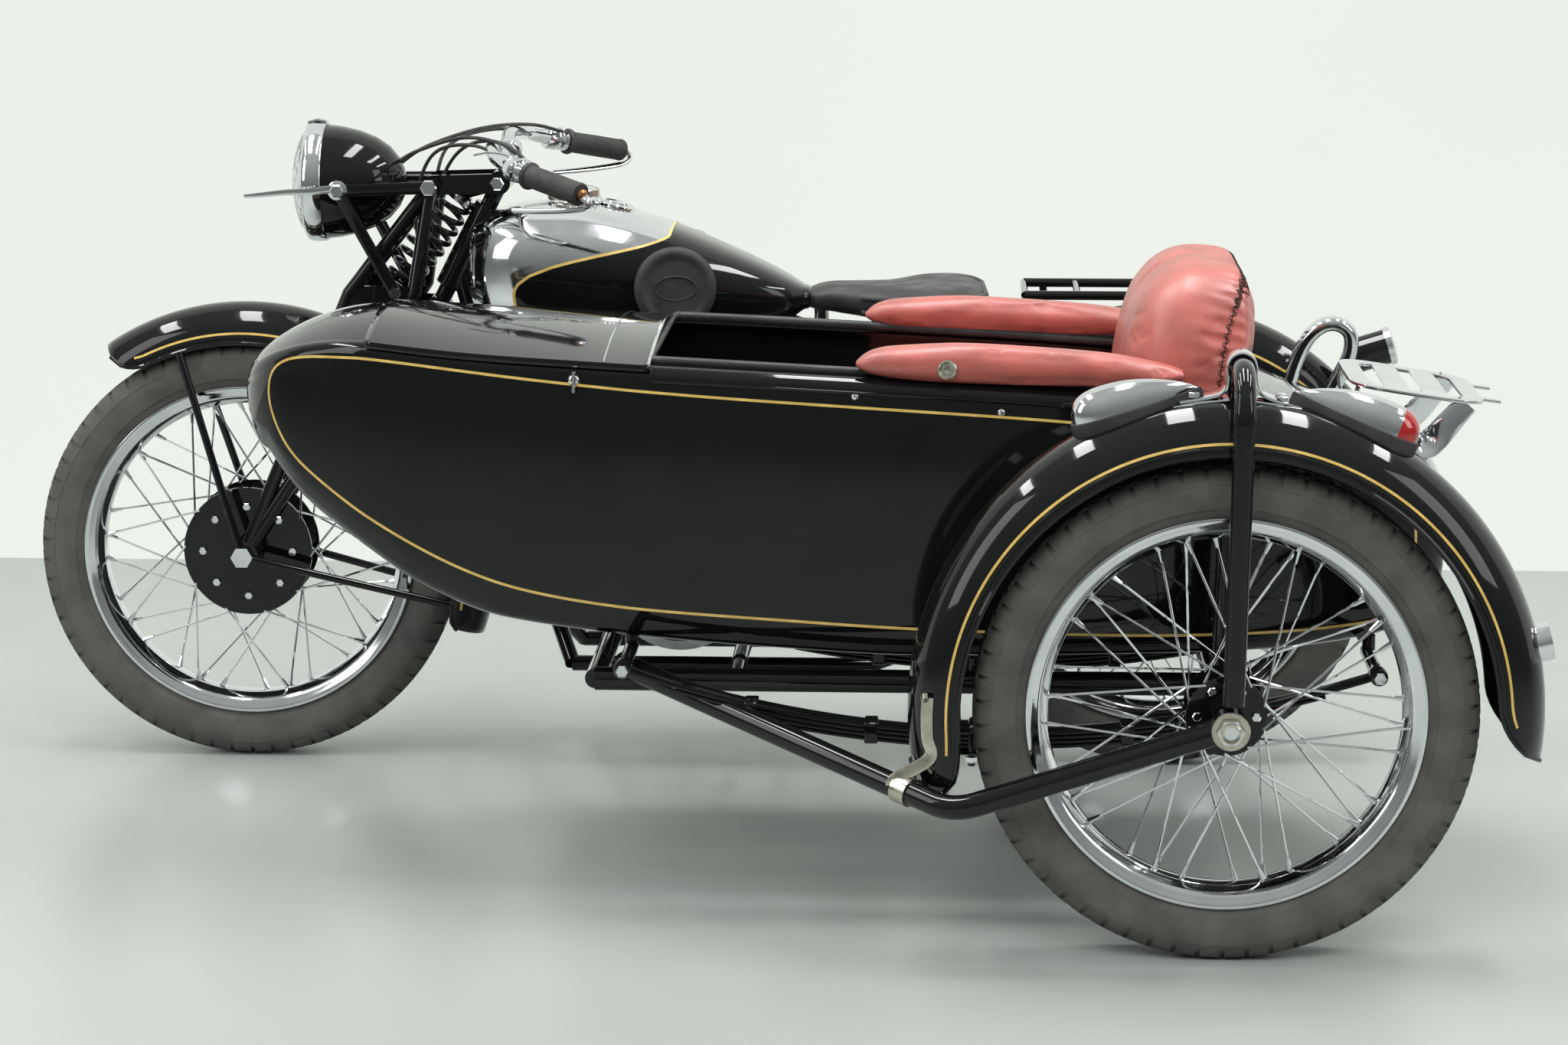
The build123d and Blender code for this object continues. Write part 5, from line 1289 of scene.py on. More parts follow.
class UpholsteryOperator(bpy.types.Operator):
    """Replaces the seat, backrest, armrests and saddle: stuffed leather with piping and whip stitches."""

    bl_idname = "outfit.upholstery"
    bl_label = "Upholstery"

    def execute(self, context):
        self.backrest()
        self.armrests()
        self.seat()
        self.saddle()
        return {"FINISHED"}

    def backrest(self):
        """Tall rounded pad with a flat back, and the whip-stitched, gathered seam along the back's outline."""
        outline = flowing([(x, 0, z) for x, z in BACK_PROFILE], 6, ring=True)[:, [0, 2]]
        half = BACK_HALF - BACK_SWELL
        form = pillow(outline, BACK_ANCHOR, half, BODY_Y)
        pad = soft_piece("backrest_pad", form, "red_leather", "backrest", 6, BACK_SWELL)
        surface = BVHTree.FromObject(pad, bpy.context.evaluated_depsgraph_get())
        sides = []
        for hand in (1, -1):
            knots = flowing([at(x, BODY_Y + hand * BACK_HALF * 1.2, z) for x, z in SEAM_END], 16)
            hits = [surface.ray_cast(Vector(p), Vector((0, -hand, 0)))[0] for p in knots]
            hits = [hit or surface.find_nearest(Vector(p))[0] for hit, p in zip(hits, knots)]
            sides.append(np.array(hits))
        over = np.linspace(sides[0][-1, 1], sides[1][-1, 1], 130)[1:-1]
        top = at(SEAM_TOP[0], 0, SEAM_TOP[1]) * [1, 0, 1] + np.stack([0 * over, over, 0 * over], axis=-1)
        seam = laid_on(pad, np.concatenate([sides[0], top, sides[1][::-1]]), 0)
        pucker(pad, seam, GATHER_PITCH, 2.3, 38)
        seam = laid_on(pad, seam, 0.2)
        length = np.concatenate([[0], np.cumsum(np.linalg.norm(np.diff(seam, axis=0), axis=1))]) * 1000
        stops = np.arange(SEAM_PITCH / 2, length[-1], SEAM_PITCH / 2)
        knots = np.stack([np.interp(stops, length, seam[:, axis]) for axis in range(3)], axis=-1)
        ahead, _, _ = frames(knots)
        normal = self.normals(pad, knots)
        across = np.cross(normal, ahead)
        lean = np.where(np.arange(len(knots)) % 2 == 0, 1.0, -1.0)[:, None] * ahead
        start = laid_on(pad, knots - across * 0.0045 - lean * 0.0022, 0.3)
        end = laid_on(pad, knots + across * 0.0045 + lean * 0.0022, 0.3)
        top = laid_on(pad, knots, 1.2)
        stitches = [tube(np.array(path), 0.65, 6) for path in zip(start, top, end)]
        piece("backrest_seam", [tube(laid_on(pad, seam[::2], 0.1), 0.8, 6)], "thread", "chassis")
        piece("backrest_stitches", stitches, "thread", "chassis")

    def normals(self, item, points):
        """Unit normals of a finished piece's surface at points."""
        surface = BVHTree.FromObject(item, bpy.context.evaluated_depsgraph_get())
        found = [surface.find_nearest(Vector(point)) for point in points]
        return np.array([row[1] for row in found])

    def armrests(self):
        """Long tapering pads, oval in section, with a chromed eyelet on the outer face of the left one."""
        x = np.linspace(ARM_TOP[0][0], ARM_TOP[-1][0], 48)[:, None]
        turn = np.linspace(0, 2 * pi, 40, endpoint=False)[None]
        top, low = through(ARM_TOP, x), through(ARM_LOW, x)
        ease = np.sqrt(np.clip((ARM_TOP[-1][0] + 6 - x) / 60, 0, 1))
        half = ARM_HALF * np.minimum(ease, np.sqrt(np.clip((x - ARM_TOP[0][0] + 20) / 70, 0, 1)))
        for name, hand in (("armrest_left", 1), ("armrest_right", -1)):
            y = BODY_Y + hand * ARM_OUT + half * squarish(np.cos(turn), 0.8)
            z = (top + low) / 2 + (top - low) / 2 * squarish(np.sin(turn), 0.8)
            form = capped(grid(at(x, y, z), wrap_columns=True), turn.size)
            soft_piece(f"{name}_pad", form, "red_leather", name, 4.5, 5)
        place = at(322, BODY_Y + ARM_OUT + ARM_HALF + 2, 738)
        ring = [(-3, 0), (-3, 13), (1, 13), (2.2, 11), (1.2, 9), (0.4, 8), (0.4, 4.5), (3.4, 4), (4.2, 0)]
        piece("armrest_eyelet", [turned(ring, place, (0, 1, 0), 32)], "nickel", "chassis")

    def seat(self):
        """Square cushion with a crowned top, above the floor."""
        u = np.linspace(0, 2 * pi, 72, endpoint=False)[None]
        lift = np.linspace(-1, 1, 14)[:, None]
        c, s = np.cos(u), np.sin(u)
        draw = 1 - 0.05 * lift**2
        x = SEAT_MID[0] + SEAT_SIZE[0] / 2 * draw * squarish(c, 0.32)
        y = BODY_Y + (SEAT_SIZE[1] / 2 - 6) * draw * squarish(s, 0.32)
        z = SEAT_MID[1] + SEAT_SIZE[2] / 2 * lift
        form = capped(grid(at(x, y, z), wrap_columns=True), u.size)
        soft_piece("seat_pad", form, "red_leather", "seat_cushion", 8, 14)

    def saddle(self):
        """Sprung saddle: a dished top that narrows to its nose, with turned-down edges and a rear bead."""
        x = np.linspace(SADDLE_TOP[0][0], SADDLE_TOP[-1][0], 44)[:, None]
        half = through(SADDLE_HALF, x)
        top = through(SADDLE_TOP, x)
        turn = np.linspace(0, 2 * pi, 48, endpoint=False)[None]
        c, s = np.cos(turn), np.sin(turn)
        y = half * squarish(c, 0.62)
        dish = 7 * (1 - (y / half) ** 2) * np.clip((430 - x) / 120, 0, 1)
        deep = through(SADDLE_DEEP, x) / 2
        z = top - deep + deep * squarish(s, 0.6) - np.where(s > 0, dish, 0)
        form = capped(grid(at(x, y, z), wrap_columns=True), turn.size)
        soft_piece("saddle_pad", form, "black_leather", "saddle", 5, 5)
        rim_x = np.concatenate([x[:30, 0][::-1], x[1:30, 0]])
        rim_y = np.concatenate([half[:30, 0][::-1], -half[1:30, 0]])
        rim = at(rim_x, rim_y, through(SADDLE_TOP, rim_x) - 12)
        skirt = at(rim_x, rim_y * 0.985, through(SADDLE_TOP, rim_x) - through(SADDLE_DEEP, rim_x) + 7)
        beads = [tube(rim, 4.2, 10), tube(skirt, 3.0, 8)]
        piece("saddle_bead", beads, "black_leather", "chassis")


# Lamps
LAMP_X, LAMP_Z = 1290.0, 898.0
LAMP_SHELL = [
    (-132, 0), (-131.5, 10), (-129, 22), (-122, 37), (-108, 54), (-88, 68), (-62, 78.5), (-34, 85), (-8, 88),
    (2, 88), (2, 84), (-8, 84), (-34, 81), (-62, 74.5), (-88, 64), (-108, 50), (-120, 34), (-126, 18),
    (-128, 0),
]
LAMP_RIM = [
    (-11, 88.2), (-12, 90), (-10.5, 91.6), (0, 92.4), (8, 92.6), (14, 91.4), (18, 88), (19.5, 84.5), (18, 82),
    (14, 82), (8, 86), (-4, 88.2),
]
LENS_SEAT = 6.0
LENS_BULGE = 36.0
LENS_R = 83.5
LAMP_BLADE = [
    (1244, 101, 894), (1262, 103, 896), (1290, 105, 893), (1330, 104, 891), (1368, 101, 887), (1392, 98, 885),
]
LAMP_ARMS = [(1113, 84, 897), (1166, 86, 736)]
DROP_LEN = 166.0
DROP_HALF = 31.0
DROP_HIGH = 38.0
DROP_FOOT = 4.0
DROP_PEAK = 0.70
DROP_LENS = 0.82


class LampsOperator(bpy.types.Operator):
    """Replaces the headlamp and the teardrop lamps on the mudguard, and gives the tail lamp its glass."""

    bl_idname = "outfit.lamps"
    bl_label = "Lamps"

    def execute(self, context):
        self.headlamp()
        self.guard_lamps()
        self.tail()
        return {"FINISHED"}

    def headlamp(self):
        """Domed shell, rolled rim with its clip, bulging glass, parabolic reflector, bulb, blade and arms."""
        place = at(LAMP_X, 0, LAMP_Z)
        ahead = (1, 0, 0)
        piece("headlamp_bowl", [turned(LAMP_SHELL, place, ahead, 96)], "painted_black", "fork",
              ["headlamp_shell"], 50)
        rim = [turned(LAMP_RIM, place, ahead, 96, ring=True)]
        clip = [
            at(LAMP_X - 12, 0, LAMP_Z + 92), at(LAMP_X + 2, 0, LAMP_Z + 95), at(LAMP_X + 17, 0, LAMP_Z + 91)
        ]
        rim.append(band(np.array(clip), (0, 0, 1), 22, 5))
        piece("headlamp_bezel", rim, "chrome", "fork", ["headlamp_rim"], 50)
        r = np.linspace(0, 1, 16)
        bulge = LENS_SEAT + LENS_BULGE * np.sqrt(1 - 0.92 * r**2)
        lens = [*zip(bulge, LENS_R * r), *zip(bulge[::-1] - 4, (LENS_R - 1) * r[::-1])]
        piece(
            "headlamp_glass", [turned(lens, place, ahead, 96)], "lamp_glass", "fork",
            ["headlamp_lens"], 60,
        )
        depth = np.linspace(0, 1, 16)
        bowl = [(-70 + 66 * t * t, 79 * t) for t in depth] + [
            (-7 + 66 * (t * t - 1), 77 * t) for t in depth[::-1]
        ]
        bright = turned([(along + 2, radius) for along, radius in bowl], place, ahead, 72)
        piece("headlamp_reflector", [bright], "chrome", "fork", sharp=60)
        bulb = [(-68, 0), (-68, 9), (-40, 9), (-34, 13), (-24, 15), (-14, 12), (-8, 0)]
        piece("headlamp_bulb", [turned(bulb, place, ahead, 24)], "nickel", "fork")
        path = flowing(places(LAMP_BLADE), 8)
        blades = [band(path, (0, 1, 0), np.linspace(14, 6, len(path)), 3.2)]
        for hand in (-1, 1):
            blades.append(
                turned([(-3, 0), (-3, 15), (0, 15), (2, 12), (2, 0)], at(1250, hand * 100, 894), (0, hand, 0), 32)
            )
        piece("headlamp_blade", blades, "chrome", "fork")
        arms = []
        for hand in (-1, 1):
            for x, y, z in LAMP_ARMS:
                path = np.linspace(at(1250, hand * 99, 894), at(x, hand * y, z), 6)
                arms.append(band(path, (0, hand, 0), 19, 5))
        piece("headlamp_arms", arms, "painted_black", "fork")

    def guard_lamps(self):
        """Chromed teardrops on rubber seats; the rear one's blunt end is a red glass."""
        guard = GUARDS[2]
        chrome, rubber, glass = [], [], []
        for angle, hand in ((73.0, -1), (112.5, 1)):
            turn = radians(angle)
            out = np.array([cos(turn), 0, sin(turn)])
            along = hand * np.array([-sin(turn), 0, cos(turn)])
            seat = at(guard.x, guard.y, TYRE_R) + out * guard.crown_r / 1000
            split = DROP_LENS if hand > 0 else 1.0
            chrome.append(self.drop(seat, along, out, 0.0, split))
            if hand > 0:
                glass.append(self.drop(seat, along, out, split, 1.0))
            rubber.append(self.drop_seat(guard, turn, hand, seat, along, out))
        piece("guard_lamp_shells", chrome, "chrome", "chassis", ["guard_lamps"], 40)
        piece("guard_lamp_seats", rubber, "rubber", "chassis")
        piece("guard_lamp_glass", glass, "red_glass", "chassis")

    def swell(self, t):
        """Share of a teardrop's width at t from its point (0) to its blunt end (1): a sine, then a round."""
        point = np.sin(pi / 2 * np.clip(t / DROP_PEAK, 0, 1)) ** 0.8
        end = np.clip((t - DROP_PEAK) / (1 - DROP_PEAK), 0, 1)
        return np.where(t < DROP_PEAK, point, np.clip(1 - end**2.6, 0, 1) ** (1 / 2.6))

    def drop(self, seat, along, out, start, end):
        """Part of a teardrop: half-ovals on a flat foot, whose size follows the swell, closed below."""
        t = start + (end - start) * np.sin(np.linspace(0, pi / 2, 30))[:, None]
        arc = np.linspace(0, pi, 24)[None]
        share = np.maximum(self.swell(t), 0.004)
        a = (t - 0.5) * DROP_LEN
        y = DROP_HALF * share * np.cos(arc)
        h = DROP_FOOT + DROP_HIGH * share**0.9 * np.sin(arc) ** 0.8
        a = np.broadcast_to(a, y.shape)
        side = np.array([0, 1.0, 0])
        points = seat + (along * a[..., None] + out * h[..., None] + side * y[..., None]) / 1000
        return capped(grid(points, wrap_columns=True), arc.size)

    def drop_seat(self, guard, turn, hand, seat, along, out):
        """Rubber foot: the teardrop's outline, a little wider, from its flat underside down onto the mudguard."""
        t = np.sin(np.linspace(0, pi / 2, 30))
        share = np.maximum(self.swell(t), 0.05)
        a = np.concatenate([t, t[::-1]]) - 0.5
        y = np.concatenate([share, -share[::-1]])
        rings = []
        for grow, height in ((0.4, DROP_FOOT + 1.5), (3.0, DROP_FOOT + 1.0), (4.0, DROP_FOOT - 1.5)):
            wide = y * (DROP_HALF + grow)
            far = a * (DROP_LEN + 2 * grow)
            rings.append(
                seat + (along * far[:, None] + out * height + np.array([0, 1.0, 0]) * wide[:, None]) / 1000
            )
        wide = y * (DROP_HALF + 5)
        far = a * (DROP_LEN + 10)
        rings.append(guard_point(guard, turn + hand * far / guard.crown_r, wide / guard_half_arc(guard), -0.5))
        return capped(grid(np.stack(rings), wrap_columns=True), len(a))

    def tail(self):
        """Red glass and chromed rim at the end of the tail lamp."""
        axis = (-58, 0, 18)
        face = at(-350, 0, 654)
        rim = [(-6, 27.5), (-6, 30), (3, 30), (5, 27), (3, 24), (-2, 24)]
        piece("tail_lamp_rim", [turned(rim, face, axis, 40, ring=True)], "chrome", "chassis")
        lens = [(-2, 0), (-2, 24), (2, 23), (5, 17), (7, 9), (7.5, 0)]
        piece("tail_lamp_glass", [turned(lens, face, axis, 40)], "red_glass", "chassis")


# Luggage rack, lifting handle and hoop strap
RACK_HALF = 118.0
RACK_LOOP = [(-300, 1), (-240, 1), (-240, -1), (-396, -1), (-396, 1)]
RACK_SLATS = (-292.0, -344.0)
HANDLE = [
    (-193, 58, 602), (-204, 60, 640), (-219, 65, 673), (-240, 70, 693), (-263, 72, 696), (-281, 70, 682),
    (-283, 67, 656), (-272, 62, 624), (-258, 58, 594),
]
HOOP_STRAP = [
    (26, 730), (-18, 738), (-31, 746), (-34, 760), (-34.5, 776), (-40, 788), (-52, 793), (-64, 788),
    (-69.5, 776), (-70, 760), (-74, 746), (-86, 736), (-128, 723),
]
STRAP_PLATES = [[(34, 724), (0, 730), (-36, 734)], [(-70, 732), (-100, 727), (-134, 716)]]


def rack_z(x):
    """Height of the luggage rack's straps, which fall to the rear."""
    return 698 + (x + 229) * 0.15


class RackOperator(bpy.types.Operator):
    """Replaces the luggage rack and the lifting handle: bright straps with eased edges, and the hoop's clamp."""

    bl_idname = "outfit.rack"
    bl_label = "Rack and handle"

    def execute(self, context):
        up = (-0.15, 0, 1)
        corners = [at(x, BODY_Y + hand * RACK_HALF, rack_z(x)) for x, hand in RACK_LOOP]
        loop = rounded([*corners, corners[0]], 40)[:-1]
        parts = [band(loop, up, 30, 6, ring=True)]
        for x in RACK_SLATS:
            ends = [at(x, BODY_Y + y, rack_z(x)) for y in np.linspace(-RACK_HALF, RACK_HALF, 5)]
            parts.append(band(ends, up, 36, 4.4))
        for hand in (-1, 1):
            y = BODY_Y + hand * RACK_HALF
            tab = [at(x, BODY_Y + hand * 62, rack_z(x) - 1) for x in (-384, -404, -424, -436)]
            parts.append(band(tab, up, [26, 22, 17, 13], 4.6))
            rear = flowing(
                [at(-384, y, 672), at(-366, y, 652), at(-340, y, 622), at(-322, y, 612), at(-296, y, 622)], 8
            )
            parts.append(band(rear, (-0.5, hand * 0.8, 0.8), np.linspace(30, 46, len(rear)), 6))
            front = flowing([at(-236, y, 694), at(-231, y, 672), at(-236, y, 652), at(-256, y, 640)], 8)
            parts.append(band(front, (-1, 0, 0.4), 24, 5))
            parts += [dome(at(x, y, z), (-0.33, 0, 1), 5.5, 4) for x, z in ((-306, 620), (-250, 643))]
        piece("rack_straps", parts, "chrome", "chassis", ["luggage_rack"], 40)
        path = flowing(places(HANDLE), 10)
        along, _, _ = frames(path)
        face = np.cross(along, [0, 1.0, 0])
        grip = band(
            path, face, np.interp(np.linspace(0, 1, len(path)), [0, 0.3, 0.7, 1], [26, 34, 34, 26]), 23, 20,
            2.4,
        )
        piece("lifting_grip", [grip], "chrome", "chassis", ["lifting_handle"], 50)
        strap_path = flowing([at(x, TRACK, z) for x, z in HOOP_STRAP], 8)
        along, _, _ = frames(strap_path)
        parts = [band(strap_path, np.cross(along, [0, 1.0, 0]), 42, 5.5)]
        parts += [band(flowing([at(x, TRACK, z) for x, z in row], 6), (0, 0, 1), 52, 5) for row in STRAP_PLATES]
        for x, z in ((8, 736), (-104, 731)):
            parts += [hexagon(at(x, TRACK + y, z), (0, 0, 1), 8, 7) for y in (-12, 12)]
        piece("hoop_strap", parts, "chrome", "chassis")
        return {"FINISHED"}


# Handlebar, levers and cables
GRIP_START = (948.0, 275.0, 938.0)
GRIP_RUN = (-93.0, 80.0, -23.0)
BAR_HALF = [
    (999, 34, 940), (1008, 70, 953), (1011, 115, 961), (1004, 170, 959), (988, 222, 952), (948, 275, 938),
    (901, 315, 926), (858, 352, 916),
]
LEVER = [(853, 357, 914), (845, 360, 905), (850, 354, 896), (872, 340, 891), (918, 314, 887), (962, 290, 885)]
THUMB = [(952, 262, 950), (972, 252, 962), (1000, 246, 966), (1024, 244, 962)]
CABLES = [
    [(905, 306, 928), (960, 250, 948), (1040, 130, 966), (1110, 62, 944), (1140, 30, 860), (1130, 25, 740)],
    [
        (905, -306, 928), (960, -250, 948), (1036, -130, 968), (1100, -62, 948), (1120, -42, 880),
        (1122, -38, 800),
    ],
    [(936, 268, 950), (985, 190, 972), (1060, 70, 972), (1140, 14, 946), (1180, 4, 922)],
    [(936, -268, 950), (985, -190, 970), (1050, -76, 974), (1130, -24, 950), (1178, -12, 918)],
    [(965, 215, 962), (1000, 160, 974), (1050, 60, 962), (1090, -20, 930), (1112, -34, 880), (1118, -30, 790)],
]


class ControlsOperator(bpy.types.Operator):
    """Replaces the handlebar and grips: a bent bar, ribbed rubbers, reversed levers, clamps and cables."""

    bl_idname = "outfit.controls"
    bl_label = "Handlebar and controls"

    def execute(self, context):
        half = np.array(BAR_HALF, float)
        mirror = half * [1, -1, 1]
        bar = tube(flowing(at(*np.concatenate([half[::-1], mirror]).T), 8), 11, 20)
        bright, rubbers, caps = [bar], [], []
        for hand in (-1, 1):
            run = unit(np.array(GRIP_RUN) * [1, hand, 1])
            start = np.array(GRIP_START) * [1, hand, 1]
            rubber = [
                (10, 0), (10, 19), (13, 20.5), (17, 20), (19, 17), (30, 16.4), (70, 16.8), (112, 16.6),
                (119, 17.5), (123, 16), (124, 0),
            ]
            rubbers.append(turned(rubber, at(*start), run, 120, flutes=30, depth=0.014))
            collar = [
                (-30, 0), (-30, 15), (-27, 17), (-12, 17), (-10, 15), (-10, 13.5), (-4, 13.5), (-2, 16),
                (8, 16), (9, 14), (9, 0),
            ]
            bright.append(turned(collar, at(*start), run, 40))
            lever = flowing([at(x, hand * y, z) for x, y, z in LEVER], 8)
            bright.append(band(lever, run, np.linspace(14, 9, len(lever)), 6, 16, 2.6))
            thumb = flowing([at(x, hand * y, z) for x, y, z in THUMB], 8)
            bright.append(band(thumb, (0, 0, 1), np.linspace(13, 8, len(thumb)), 3.4))
            perch = at(952, hand * 264, 944)
            bright.append(
                turned([(0, 0), (0, 15), (8, 15), (10, 12), (13, 12), (15, 8), (15, 0)], perch, (0.2, 0, 1), 32)
            )
            caps.append(turned([(121, 0), (121, 9), (128, 9), (131, 6), (132, 0)], at(*start), run, 24))
            clamp = at(1002, hand * 34, 944)
            bright.append(
                turned([(-11, 0), (-11, 17), (-8, 19), (8, 19), (11, 17), (11, 0)], clamp, (0.12, hand, 0.35), 40)
            )
        piece("handlebar_bent", bright, "chrome", "fork", ["handlebar"], 40)
        piece("grip_rubbers", rubbers, "rubber", "fork", ["grips"], 30)
        piece("lever_caps", caps, "brass", "fork")
        cables = [tube(flowing(places(route), 12), 2.8, 8) for route in CABLES]
        piece("control_cables", cables, "rubber", "fork")
        return {"FINISHED"}


# Fork spring and fasteners
SPRING_HIGH = (1074.0, 0.0, 876.0)
SPRING_LOW = (1176.0, 0.0, 740.0)
SPRING_TURNS = 9
SPRING_WIRE = 4.6


class ForkSpringOperator(bpy.types.Operator):
    """Replaces the fork's spring: a barrel-shaped coil between two cupped seats."""

    bl_idname = "outfit.fork_spring"
    bl_label = "Fork spring"

    def execute(self, context):
        high, low = at(*SPRING_HIGH), at(*SPRING_LOW)
        run = low - high
        axis = unit(run)
        side = np.array([0, 1.0, 0])
        other = np.cross(axis, side)
        t = np.linspace(0, 1, SPRING_TURNS * 28)[:, None]
        turn = 2 * pi * SPRING_TURNS * t
        coil_r = (19 + 9 * np.sin(pi * t)) / 1000
        path = high + run * t + coil_r * (side * np.cos(turn) + other * np.sin(turn))
        piece(
            "spring_coil", [coil(path, axis, SPRING_WIRE)], "painted_black", "fork",
            ["fork_spring"],
        )
        cup = [(-4, 0), (-4, 23), (0, 26), (7, 26), (7, 23.5), (2, 23), (2, 0)]
        cups = [turned(cup, high, axis, 40), turned(cup, low, -axis, 40)]
        piece("spring_cups", cups, "chrome", "fork")
        return {"FINISHED"}


FORK_NUTS = [
    (1250, 101, 894, 11, 9), (1113, 82, 897, 13, 8), (1211, 82, 703, 13, 8), (1013, 44, 900, 11, 7),
    (1111, 44, 706, 11, 7), (1166, 84, 736, 10, 12),
]


class TrimOperator(bpy.types.Operator):
    """Hexagon nuts on the fork and its lamp, the sidecar's axle end and the clip of its mudguard."""

    bl_idname = "outfit.trim"
    bl_label = "Fasteners"

    def execute(self, context):
        self.axle_end()
        self.guard_clip()
        nuts = []
        for hand in (-1, 1):
            for x, y, z, size, height in FORK_NUTS:
                nuts.append(hexagon(at(x, hand * y, z), (0, hand, 0), size, height))
        piece("fork_fasteners", nuts, "chrome", "fork")
        return {"FINISHED"}

    def axle_end(self):
        """Nickel nut on the sidecar's axle with its washer and the hollow end of the axle, whose bore is a dark
        disc of painted shade.
        """
        place = at(SIDE_LEAD, TRACK + 121, TYRE_R)
        nut = [hexagon(place, (0, 1, 0), 19, 10)]
        nut.append(turned([(0, 0), (0, 24), (2, 25), (4, 24), (4, 0)], place, (0, 1, 0), 40))
        nut.append(turned([(9, 9), (9, 14), (14, 13.4), (15, 12), (14.4, 9)], place, (0, 1, 0), 40, ring=True))
        piece("axle_nut", nut, "nickel", "chassis")
        # Dark disc at the bottom of the axle's hollow end: painted shade standing in for the depth of the bore.
        piece(
            "axle_bore_painted_shade", [turned([(9, 0), (9, 9.4), (10.6, 9.4), (10.6, 0)], place, (0, 1, 0), 32)], "rubber",
            "chassis",
        )

    def guard_clip(self):
        """Nickel strap down the mudguard's front edge to a clip round the outer tube."""
        guard = GUARDS[2]
        on = guard_point(guard, np.radians([4.0, 0.0, -4.0, -8.0]), 0.62, 2.5)
        tube_mid, tube_way = at(372, 1120.4, 228.7), np.array([455.0, -371.0, 108.0])
        path = flowing(np.concatenate([on, [at(384, 1124, 244)], [at(388, 1122, 230)]]), 8)
        strap = band(path, (0.4, 1.0, 0.0), 17, 4)
        ring = turned([(-12, 16), (-12, 19), (12, 19), (12, 16)], tube_mid, tube_way, 40, ring=True)
        bolt = hexagon(on[0] + np.array([0.002, 0.0, 0.0]), (1, 0.3, 0.1), 7, 6)
        piece("guard_clip", [strap, ring, bolt], "nickel", "chassis")


# Leaf springs of the sidecar
LEAF_MID = (250.0, 262.0)
LEAF_Y = (430.0, 915.0)
LEAF_HALF = 501.0
LEAF_SAG = 82.0
LEAF_T = 6.0
LEAF_W = 40.0
LEAF_SHORT = 70.0
LEAF_COUNT = 4
LEAF_CLIPS = (-330.0, -170.0, 170.0, 330.0)
POST_Y = 780.0


def leaf_z(x):
    """Height of the top face of a spring's longest leaf, x from its middle: a parabola."""
    return LEAF_MID[1] + LEAF_SAG * (x / LEAF_HALF) ** 2


class LeafSpringsOperator(bpy.types.Operator):
    """Replaces the leaf springs: stacks of leaves with clips, U-bolts, plates, eyes and posts."""

    bl_idname = "outfit.leaf_springs"
    bl_label = "Leaf springs"

    def execute(self, context):
        black, bright = [], []
        for y in LEAF_Y:
            for n in range(LEAF_COUNT):
                x = np.linspace(-1, 1, 48) * (LEAF_HALF - LEAF_SHORT * n)
                leaf = at(LEAF_MID[0] + x, y, leaf_z(x) - LEAF_T * (n + 0.5))
                black.append(band(leaf, (0, 0, 1), LEAF_W, LEAF_T - 0.6, 16, 5.0))
            for x in LEAF_CLIPS:
                black.append(self.clip(x, y))
            plate = at(LEAF_MID[0] + np.linspace(-58, 58, 6), y, LEAF_MID[1] + 3)
            black.append(band(plate, (0, 0, 1), 62, 8))
            black.append(band(plate - np.array([0, 0, 0.030]), (0, 0, 1), 62, 6))
            for x in (-36, 36):
                bolt = [(y - 25, 218), (y - 25, 270), (y + 25, 270), (y + 25, 218)]
                black.append(tube(rounded([at(LEAF_MID[0] + x, side, z) for side, z in bolt], 14), 5, 10))
                bright += [
                    hexagon(at(LEAF_MID[0] + x, side, 230), (0, 0, -1), 9, 8) for side in (y - 25, y + 25)
                ]
            for hand in (-1, 1):
                self.eye(LEAF_MID[0] + hand * LEAF_HALF, y, black, bright)
        piece("spring_leaves", black, "painted_black", "chassis", ["leaf_springs"], 40)
        piece("spring_bolts", bright, "chrome", "chassis")
        return {"FINISHED"}

    def clip(self, x, y):
        """Flat hoop round the leaves at x from the middle."""
        leaves = 1 + int((LEAF_HALF - abs(x)) // LEAF_SHORT)
        top = leaf_z(x) + 1.5
        low = leaf_z(x) - LEAF_T * min(leaves, LEAF_COUNT) - 1.5
        mid = (top + low) / 2
        half = LEAF_W / 2 + 1.5
        corners = [(0, top), (half, top), (half, low), (-half, low), (-half, top)]
        path = [at(LEAF_MID[0] + x, y + side, z) for side, z in corners]
        loop = rounded([*path, path[0]], 5)[:-1]
        return band(loop, loop - at(LEAF_MID[0] + x, y, mid), 18, 3, ring=True)

    def eye(self, x, y, black, bright):
        """Rolled eye with its bushed pin, and the post that carries it under the body."""
        z = LEAF_MID[1] + LEAF_SAG - LEAF_T / 2
        roll = [(-21, 0), (-21, 6), (-20, 11), (-18, 12), (18, 12), (20, 11), (21, 6), (21, 0)]
        black.append(turned(roll, at(x, y, z), (0, 1, 0), 32))
        post = min(y, POST_Y)
        black.append(tube(np.array([at(x, y, z), at(x, post - 20, z)]), 9.5, 20))
        black.append(tube(np.array([at(x, post, z), at(x, post, z + 26)]), 9, 20))
        bright.append(hexagon(at(x, y + 20.5, z), (0, 1, 0), 9, 8))


# Engine trim on the right
TIMING = ((735.0, 296.0), (850.0, 332.0))
TIMING_FACE = -100.0
TIMING_SCREW_R = 50.0
PLUG_LEAD = [(694, -122, 640), (664, -124, 610), (632, -112, 520), (612, -88, 450), (618, -70, 424)]
OIL_PIPES = [
    [(506, -92, 434), (512, -94, 396), (562, -98, 330), (640, -104, 272), (694, -104, 262)],
    [(488, -92, 434), (494, -94, 388), (548, -98, 312), (640, -104, 254), (700, -104, 244)],
]
FUEL_PIPE = [(632, -46, 612), (640, -60, 640), (668, -74, 656), (690, -78, 674)]


